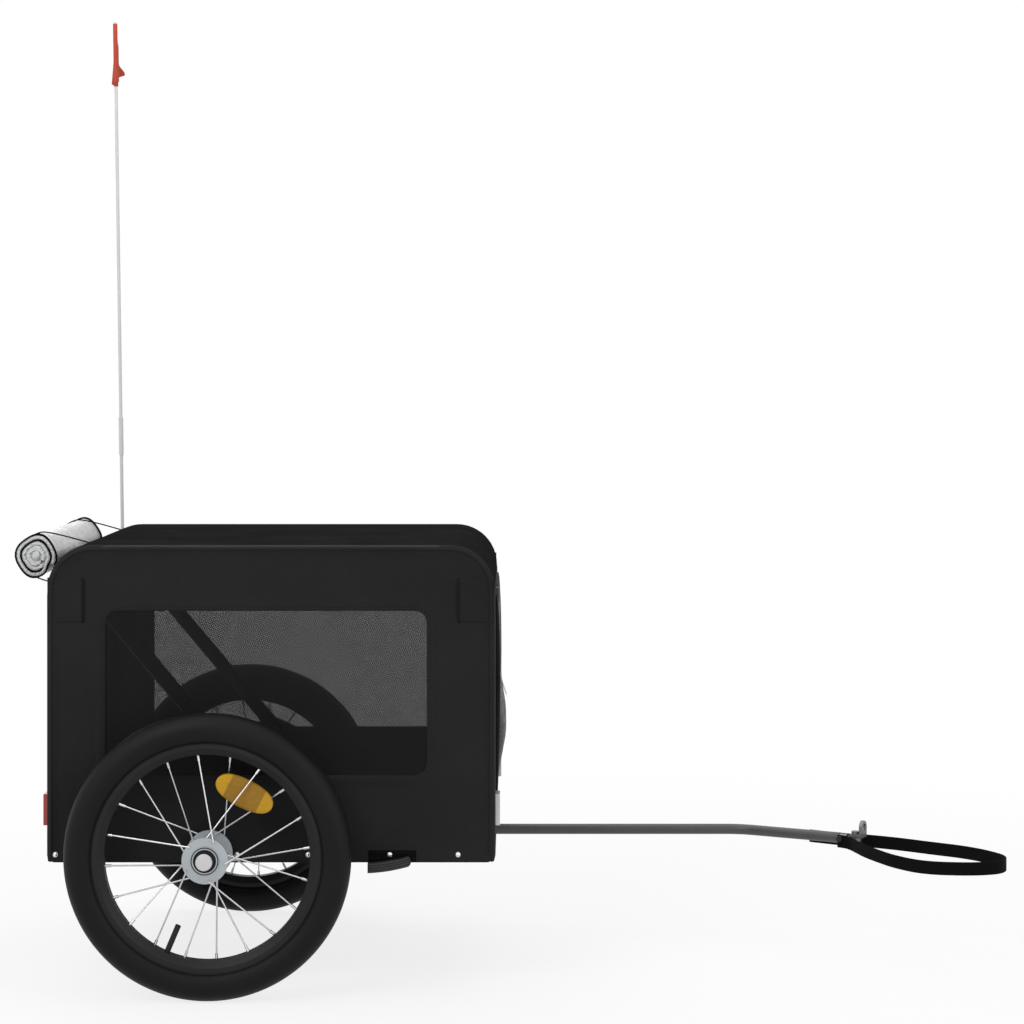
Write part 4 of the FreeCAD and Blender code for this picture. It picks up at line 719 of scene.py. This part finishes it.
def arch_path():
    """The cabin's profile over the roof, from the rear arch foot to the front one, as places with their
    outward directions."""
    arc_steps, flat_steps = 12, 26
    x0, x1 = REAR + TOP_RADIUS, FRONT - TOP_RADIUS

    def arc(x, first):
        turns = [math.radians(first - 90 * step / arc_steps) for step in range(arc_steps + 1)]
        outs = [Vector((math.cos(turn), 0, math.sin(turn))) for turn in turns]
        return [(Vector((x, 0, TOP - TOP_RADIUS)) + out * TOP_RADIUS, out) for out in outs]

    flat = [(Vector((x0 + (x1 - x0) * step / flat_steps, 0, TOP)), Vector((0, 0, 1)))
            for step in range(1, flat_steps)]
    return arc(x0, 180) + flat + arc(x1, 90)


def make_roof():
    """One sheet over the cabin: it turns down at both sides and lies a little slack between the bars."""
    path = arch_path()
    across = [(-HALF - 0.0008 + EDGE_ROUND - EDGE_ROUND * math.cos(math.radians(a)),
               EDGE_ROUND - EDGE_ROUND * math.sin(math.radians(a))) for a in (0, 22, 45, 68, 90)]
    inner = [(-1 + 2 * k / 20) * (HALF - EDGE_ROUND - 0.004) for k in range(21)]
    spread = across + [(y, 0.0) for y in inner] + [(-y, drop) for y, drop in reversed(across)]
    rows = []
    for place, out in path:
        row = []
        for y, drop in spread:
            slack = max(0.0, 1 - (y / (HALF - 0.02)) ** 2)
            sag = 0.0012 * slack if out.z > 0.99 else 0.0
            lift = 0.35 * ripple(place.x * 1.3 + 4, y * 1.3, 8.0, 0.0012) * slack
            row.append(place + out * (lift - sag - drop) + Vector((0, y, 0)))
        rows.append(row)

    columns, turned = len(spread) - 1, 3

    def turned_down(face):
        return min(face % columns, columns - 1 - face % columns) < turned

    # Top faces take the roof copy of the cloth and the turned-down edges take the side copy: painted shade by
    # which way the faces look
    piece = add_rows("roof_painted_shade_cloth", rows, "roof_painted_shade_cloth", "chassis", "black_fabric")
    second_finish(piece, "side_cloth", turned_down)
    thicken(piece, CLOTH * 0.75)
    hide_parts("roof_panel")

    leg = (BOTTOM + 0.01, 0.3, 0.42, 0.52)
    start, run, steps = REAR + TOP_RADIUS - 0.012, FRONT - REAR - 2 * TOP_RADIUS + 0.024, 20
    for name, side in SIDES.items():
        y = side * PIPING_Y
        line = [Vector((REAR + PIPING_INSET, y, z)) for z in leg]
        line += [place + out * -PIPING_INSET + Vector((0, y, 0)) for place, out in path]
        line += [Vector((FRONT - PIPING_INSET, y, z)) for z in reversed(leg)]
        tube(name + "_side_piping", line, PIPING_RADIUS, "side_cloth", "chassis")
        # The top piping is lighter than the rest of the cloth: a painted highlight along the roof's rounded
        # top edge
        line = []
        for step in range(steps + 1):
            dive = 0.005 * max(0.0, 1 - min(step, steps - step) / 2)
            x, z = start + run * step / steps, TOP - 0.0028 - dive / 4
            line.append(Vector((x, side * (PIPING_Y - dive), z)))
        tube(name + "_top_highlight_piping", line, PIPING_RADIUS, "piping_painted_highlight", "chassis")


def round_drop(past, radius):
    """How far a rounded edge falls back, at a distance past the start of its round."""
    return radius - math.sqrt(max(0.0, radius ** 2 - max(0.0, past) ** 2))


def make_end_cloth(name, x, facing, seed):
    """The front or rear panel, with its entrance, which turns round the cabin's corners and under it."""
    reach = HALF + 0.0005
    outline = (-reach, reach, BOTTOM, TOP - TOP_RADIUS + 0.002, 0.004, 0.0008)
    opening = (-DOOR_HALF, DOOR_HALF, DOOR_BOTTOM, DOOR_TOP, DOOR_RADIUS, DOOR_RADIUS)

    def place(y, z, lift):
        drop = round_drop(abs(y) - (reach - EDGE_ROUND), EDGE_ROUND)
        drop += round_drop(BOTTOM + UNDER_ROUND - z, UNDER_ROUND)
        return Vector((x + facing * (lift - drop), y, z))

    rows = opened_panel(outline, opening, place, seed, 0.0008)
    piece = add_rows(name + "_cloth", rows, "end_cloth", "chassis", "black_fabric", closed_along=True)
    thicken(piece, CLOTH)
    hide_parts(name + "_panel")


FILM_BULGE_HEIGHT, FILM_BULGE, FILM_BULGE_REACH = 0.347, 0.0102, 0.046
TAB_HEIGHT, TAB_LENGTH, TAB_WIDTH = 0.443, 0.030, 0.012


def make_front_cover():
    """The clear sheet that hangs over the front entrance, bulged low down, inside its bound edge."""
    low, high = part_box("front_cover_binding")
    film_low, film_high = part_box("front_cover_film")
    half_width, height = (high.y - low.y) / 2, high.z - low.z
    binding = half_width - (film_high.y - film_low.y) / 2
    inset = binding - 0.003
    film_half, film_height = half_width - inset, height - 2 * inset

    def place(y, z, lift):
        share = min(1.0, max(0.0, (z - low.z) / height))
        bow = 0.0046 * math.sin(math.pi * share ** 1.4) ** 0.6
        return Vector((low.x + 0.001 + bow + lift, y, z))

    def at_back(y, z, lift):
        return Vector((low.x + lift, y, z))

    def on_film(y, z):
        across = 1 - (y / film_half) ** 4
        bulge = FILM_BULGE * math.exp(-((z - FILM_BULGE_HEIGHT) / FILM_BULGE_REACH) ** 2) * across
        return place(y, z, bulge * (1 + 0.12 * noise.noise(Vector((y * 14, z * 14, 2.0)))))

    steps = 28
    rows = [
        [on_film((-1 + 2 * k / steps) * film_half, low.z + inset + film_height * i / steps)
         for k in range(steps + 1)]
        for i in range(steps + 1)
    ]
    # The sheet's near-black tint is painted shade of the dark cabin seen through it
    film = add_rows("front_clear_sheet", rows, "clear_front_painted_shade", "front_cover", "clear_film")
    thicken(film, 0.0008, 0.0)
    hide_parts("front_cover_film")

    outline = (-half_width, half_width, low.z, high.z, 0.012, 0.012)
    rows = [edge_row(place, outline, by, lift) for by, lift in (
        (-binding, 0.0006), (-binding + 0.001, 0.0012), (-binding / 2, 0.0016), (-0.001, 0.0012), (0.0, 0.0),
    )]
    rows += [edge_row(at_back, outline, by, 0.0002) for by in (0.0, -binding / 2, -binding)]
    edge = add_rows("front_bound_edge", rows, "end_cloth", "front_cover", "webbing",
                    closed_along=True, closed_across=True)
    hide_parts("front_cover_binding")

    # A small tab off the bound edge, coloured light grey as a painted highlight where it catches the light
    rows = []
    for step in range(7):
        share = step / 6
        at = place(-half_width, TAB_HEIGHT - TAB_LENGTH * share, 0.0022 + 0.0085 * share ** 1.3)
        rows.append([at, at + Vector((0, TAB_WIDTH, 0))])
    tab = add_rows("front_tab", rows, "tab_painted_highlight", "front_cover", "webbing")
    thicken(tab, 0.0010)


ROLL_RADIUS, ROLL_STEP, ROLL_CORE = 0.0300, 0.26, 0.0075
ROLL_TURNS, ROLL_EDGE_TURNS, ROLL_EDGE = 2.98, 1.9, 0.004


def make_roll():
    """The clear rear cover, rolled up: a sheet wound on itself, with its black bound edges at both ends."""
    low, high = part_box("rear_cover_roll")
    centre = (low + high) / 2 + Vector((-0.0016, 0, -0.0013))
    half_length = (high.y - low.y) / 2

    def winding(turns, inward):
        """A place on the wound sheet, rounded square: each turn keeps its size and steps in at its end."""
        whole, part = divmod(turns, 1)
        rise = min(1.0, max(0.0, (part - 0.88) / 0.12))
        reach = ROLL_RADIUS * (1 - ROLL_STEP * min(2.0, whole + rise * rise * (3 - 2 * rise))) - inward
        turn = math.radians(-26) + turns * 2 * math.pi
        square = 1 + 0.045 * math.cos(4 * (turn + math.radians(11)))
        return Vector((math.cos(turn) * 0.98, 0, math.sin(turn) * 1.04)) * reach * square

    def band(title, y0, y1, depths, turns, finish, across, core=0.0):
        """A strip of the wound sheet between two depths; the clear one has a rolled core."""
        rows = []
        steps = int(turns * 40)
        for depth in depths:
            for k in range(across + 1):
                y = y0 + (y1 - y0) * k / across
                row = []
                for step in range(steps + 1):
                    at = turns * step / steps
                    bare = depth == depths[0] and at > ROLL_EDGE_TURNS
                    point = winding(at, 0.0004 if bare else depth)
                    dent = 0.04 * noise.noise(Vector((point.x * 30, y * 12, point.z * 30)))
                    row.append(centre + point * (1 + dent) + Vector((0, y, 0)))
                rows.append(row)
        count = across + 1
        data = rows_mesh(title, rows[:count] + rows[count:][::-1], closed_across=True)
        work = bmesh.new()
        work.from_mesh(data)
        bmesh.ops.holes_fill(work, edges=[e for e in work.edges if e.is_boundary])
        if core:
            rows = [[centre + Vector((x, y, z)) for x, z in circle(core, 24)] for y in (y0, y1)]
            work.from_mesh(rows_mesh("roll_core", rows, closed_along=True, cap=True))
        close_mesh(work, data)
        return add_piece(title, data, finish, "chassis")

    # The wound sheet's near-white tint and its darker patches are painted reflection and shade of the creased
    # film
    sheet = band("rolled_clear_cover", -half_length + 0.001, half_length - 0.001, (0.0024, 0.0076),
                 ROLL_TURNS, "clear_roll_painted_reflection", 30, ROLL_CORE)
    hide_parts("rear_cover_roll")
    for name, side in SIDES.items():
        y0, y1 = sorted((side * half_length, side * (half_length - ROLL_EDGE)))
        band(name + "_roll_edge", y0, y1, (0.0, 0.0024), ROLL_EDGE_TURNS, "webbing", 2)


# Places along a tie, behind the axle and above the ground
TIE_ROUTE = (
    (-0.188, 0.6265), (-0.2439, 0.643), (-0.2672, 0.6408), (-0.292, 0.6142), (-0.2752, 0.5852),
    (-0.2638, 0.5748), (-0.2328, 0.567),
)
TIE_Y = 0.165


def make_ties():
    """Two thin cords that hold the roll, from the roof round its back to the rear panel."""
    for name, side in SIDES.items():
        places = [Vector((AXLE_X + x, side * TIE_Y, z)) for x, z in TIE_ROUTE]
        curve = round_line(name + "_roll_tie", places, 0.0010, 24, 3)
        piece = add_piece(name + "_roll_tie", curve, "webbing", "chassis")
        if side < 0:
            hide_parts("roll_ties")
        tuple(places[0])


def make_mat():
    """The padded floor mat, crowned, with quilted channels."""
    low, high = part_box("floor_mat")
    steps_x, steps_y, border, foot = 48, 40, 5, 0.006
    top, under = [], []
    for i in range(steps_x + 1):
        row_top, row_under = [], []
        for k in range(steps_y + 1):
            u, v = i / steps_x, k / steps_y
            edge = min(1.0, min(u, 1 - u) * steps_x / border) * min(1.0, min(v, 1 - v) * steps_y / border)
            crown = math.sqrt(max(0.0, 1 - (1 - edge) ** 2))
            draw = 0.005 * math.sin(math.pi * u) * (1 if v > 0.5 else -1) * (abs(v - 0.5) * 2) ** 6
            channel = abs(math.sin(math.pi * 5 * u)) * abs(math.sin(math.pi * 4 * v))
            puff = 0.55 + 0.45 * min(1.0, channel * 2.2)
            x = low.x + (high.x - low.x) * u
            y = low.y + (high.y - low.y) * v - draw
            row_top.append(Vector((x, y, low.z + foot + (high.z - low.z - 0.007) * crown * puff)))
            row_under.append(Vector((x, y, low.z + foot * (1 - crown))))
        top.append(row_top)
        under.append(row_under)
    data = bpy.data.meshes.new("floor_pad")
    work = bmesh.new()
    for rows in (top, under):
        grid = [[work.verts.new(p) for p in row] for row in rows]
        for a, b in zip(grid, grid[1:]):
            for k in range(steps_y):
                work.faces.new((a[k], a[k + 1], b[k + 1], b[k]))
    bmesh.ops.remove_doubles(work, verts=work.verts, dist=0.0002)
    edges = [e for e in work.edges if e.is_boundary]
    if edges:
        bmesh.ops.bridge_loops(work, edges=edges)
    close_mesh(work, data)
    pad = add_piece("floor_pad", data, "mat_cloth", "chassis")
    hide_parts("floor_mat")


# Flag: shares of the pennant's fly, with how far the cloth stands forward of the pole's line there

PENNANT_WAVE = ((0.0, 0.0), (0.22, -0.0098), (0.42, -0.0010), (0.62, -0.0048), (0.8, -0.0052), (1.0, 0.0020))
POLE_LEAN = -math.tan(math.radians(0.83))
SLEEVE_RADIUS, PENNANT_CLOTH = 0.0036, 0.0007


def pennant_wave(u, share):
    """How far the cloth stands forward at share u of its fly; the first wave fades out towards the top."""
    for (u0, a), (u1, b) in zip(PENNANT_WAVE, PENNANT_WAVE[1:]):
        if u <= u1:
            a, b = [value * (1.05 - share) if value == PENNANT_WAVE[1][1] else value for value in (a, b)]
            return a + (b - a) * (0.5 - 0.5 * math.cos(math.pi * (u - u0) / (u1 - u0)))


def make_pennant():
    """The flag's cloth on its sewn sleeve, waved across its fly."""
    low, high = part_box("flag_pennant")
    pole_low, pole_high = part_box("flag_pole_upper")
    pole_y = low.y + 0.0039
    height = high.z - low.z

    def axis_x(z):
        return pole_low.x + 0.0027 + (z - pole_high.z) * POLE_LEAN

    levels = [low.z + height * step / 8 for step in range(9)]
    rows = [[Vector((axis_x(z) + x, pole_y + y, z)) for x, y in circle(SLEEVE_RADIUS, 16)] for z in levels]
    sleeve = add_rows("pennant_sleeve", rows, "pennant_cloth", "flag", "pennant", closed_along=True)
    thicken(sleeve, PENNANT_CLOTH)
    rows = []
    fly = high.y - pole_y - 0.004
    steps = 40
    for i in range(steps + 1):
        u = i / steps
        row = []
        for k in range(9):
            share = 0.27 * u + (1 - 0.98 * u) * k / 8
            z = low.z + share * height
            row.append(Vector((axis_x(z) + pennant_wave(u, share), pole_y + 0.0034 + fly * u, z)))
        rows.append(row)
    cloth = add_rows("pennant_cloth", rows, "pennant_cloth", "flag", "pennant")
    thicken(cloth, PENNANT_CLOTH, 0.0)
    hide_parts("flag_pennant")


# Wheels

WHEEL_RADIUS, TYRE_HALF, WHEEL_Y = 0.2, 0.0235, 0.323
SEAL_INNER, SEAL_OUTER, SEAL_LIFT = 0.0178, 0.0191, 0.0004


def make_tyre(name, side):
    """The tyre, smooth as it shows, with a slight groove and a near-black band of faces where it meets the
    rim: painted shade of the gap there.
    """
    ring = WHEEL_RADIUS - TYRE_HALF
    around, section, mouth = 180, 64, 160
    rows = []
    for step in range(around):
        turn = 2 * math.pi * step / around
        row = []
        for k in range(section + 1):
            crown = mouth * (2 * k / section - 1)
            angle = math.radians(crown)
            radius = TYRE_HALF - (0.0006 if 128 < abs(crown) < 137 else 0.0)
            out = ring + math.cos(angle) * radius
            row.append(Vector((AXLE_X + out * math.cos(turn), side * WHEEL_Y + math.sin(angle) * radius,
                               WHEEL_RADIUS + out * math.sin(turn))))
        rows.append(row)

    # Faces on the bead band get the near-black finish: painted shade of the gap between tyre and rim
    def on_bead(face):
        return 130 < abs(mouth * ((2 * (face % section) + 1) / section - 1)) < 136

    piece = add_rows(name + "_tyre_cover", rows, "tyre_rubber", name + "_wheel", "tyre", closed_across=True)
    second_finish(piece, "bead_painted_shade_and_seal", on_bead)
    thicken(piece, 0.0025)
    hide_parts(name + "_tyre")


def make_hub_seal(name, side):
    """The thin dark ring on the hub's outer face."""
    low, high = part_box(name + "_hub")
    face = low.y if side < 0 else high.y
    section = (SEAL_INNER, 0.0), (SEAL_INNER, SEAL_LIFT), (SEAL_OUTER, SEAL_LIFT), (SEAL_OUTER, 0.0)
    rows = [
        [Vector((AXLE_X + x, face + side * lift, WHEEL_RADIUS + z)) for x, z in circle(radius, 64)]
        for radius, lift in section
    ]
    add_rows(name + "_hub_seal", rows, "bead_painted_shade_and_seal", name + "_wheel", "rubber", smooth=False,
             closed_along=True, closed_across=True)


def make_amber_lens(name):
    """The oval spoke reflector: clear yellow ends and a duller middle, a little sunk."""
    low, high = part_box(name + "_wheel_reflector")
    centre = (low + high) / 2
    half_length, half_height, half_depth = 0.043, 0.020, (high.y - low.y) / 2
    tilt = Matrix.Rotation(math.radians(27), 3, "Y")
    stations, around, bow, middle = 44, 24, 2.33, 0.55
    places = [-math.cos(math.pi * (step + 0.3) / (stations + 0.6)) for step in range(stations + 1)]
    rows = []
    for u in places:
        tall = half_height * (1 - abs(u) ** bow) ** (1 / bow)
        deep = half_depth * (0.9 if abs(u) < middle else 1.0)
        row = []
        for c, s in circle(1.0, around):
            y, z = math.copysign(abs(s) ** 0.5, s) * deep, math.copysign(abs(c) ** 0.7, c) * tall
            row.append(centre + tilt @ Vector((u * half_length, y, z)))
        rows.append(row)

    def in_middle(face):
        row = face // around
        return row < stations and max(abs(places[row]), abs(places[row + 1])) < middle + 0.05

    piece = add_rows(name + "_amber_lens", rows, "amber", name + "_wheel", "amber_reflector",
                     closed_along=True, cap=True)
    second_finish(piece, "amber_middle", in_middle)
    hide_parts(name + "_wheel_reflector")


# Parking stand

def make_shoe():
    """The stand's arched rubber shoe with its lengthwise ribs, and the black patch sewn above it."""
    low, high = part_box("stand_shoe")
    length, height, nose, ribs, across = 0.061, 0.0135, 0.0045, 4, 32
    rows = []
    for step in range(37):
        x = length * step / 36
        share = min(1.0, x / (length - nose))
        sole = 0.0089 * (0.2 * share + 0.8 * share ** 2)
        past = max(0.0, (x - length + nose) / nose)
        tall = height * (1 - 0.85 * past ** 2)
        foot = low.z + sole + (height - tall) / 2
        row = []
        for k in range(across + 1):
            v = k / across
            groove = 0.0016 * (1 - abs(math.sin(math.pi * ribs * v)) ** 0.6)
            row.append(Vector((low.x + x, low.y + groove, foot + tall * v)))
        row += [Vector((low.x + x, high.y, foot + tall)), Vector((low.x + x, high.y, foot))]
        rows.append(row)
    shoe = add_rows("ribbed_shoe", rows, "shoe_rubber", "stand", "rubber", closed_along=True, cap=True)
    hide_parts("stand_shoe")

    x0, x1, z0, z1 = AXLE_X + 0.221, AXLE_X + 0.288, BOTTOM + 0.0005, BOTTOM + 0.017
    rows = []
    for i in range(5):
        z = z0 + (z1 - z0) * i / 4
        shares = [k / 10 for k in range(11)]
        rows.append([Vector((x0 + (x1 - x0) * u, -HALF - 0.0010 - 0.0006 * math.sin(math.pi * u), z))
                     for u in shares])
    patch = add_rows("right_stand_patch", rows, "webbing", "chassis", "webbing")
    thicken(patch, 0.0008)


NODE_FINISHES = {
    "frame_paint": ("side_rails", "cross_members", "axle_beam", "side_hoops", "side_braces", "top_bars",
                    "stand_bracket", "stand_leg"),
    "zinc": ("frame_bolts", "axle_receivers", "stand_pin"),
    "dull_steel": ("tow_tongue", "hitch_eye", "hitch_bolt"),
    "black_plastic": ("hoop_spigots", "tow_bar_guides", "tow_clamp_knob", "flag_holder", "strap_bolt"),
    "board": ("floor_board",),
    "dark_metal": ("zip_slider",),
    "white_lens": ("front_reflectors",),
    "red_lens": ("rear_reflectors",),
    "bar_paint": ("tow_bar",),
    "pole": ("flag_pole_lower", "flag_pole_upper"),
}
WHEEL_FINISHES = {
    "bearings": "black_plastic", "axle": "black_plastic", "axle_button": "grey_plastic",
    "valve": "soft_rubber", "inner_tube": "soft_rubber", "rim": "rim_paint", "hub": "alloy",
    "spokes": "spoke_steel",
}

set_camera()
set_light()
set_floor()
make_strap()
for finish, names in NODE_FINISHES.items():
    for name in names:
        paint(nodes[name], finish)
for name, side in SIDES.items():
    for node, finish in WHEEL_FINISHES.items():
        paint(nodes[name + "_" + node], finish)
    make_side_cloth(name, side)
    net = make_net(name, side)
    if side < 0:
        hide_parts("window_meshes")
    make_tyre(name, side)
    make_amber_lens(name)
    make_hub_seal(name, side)
make_roof()
make_end_cloth("front", FRONT, 1, 21.0)
make_end_cloth("rear", REAR, -1, 27.0)
make_front_cover()
make_roll()
make_ties()
make_mat()
make_pennant()
make_shoe()
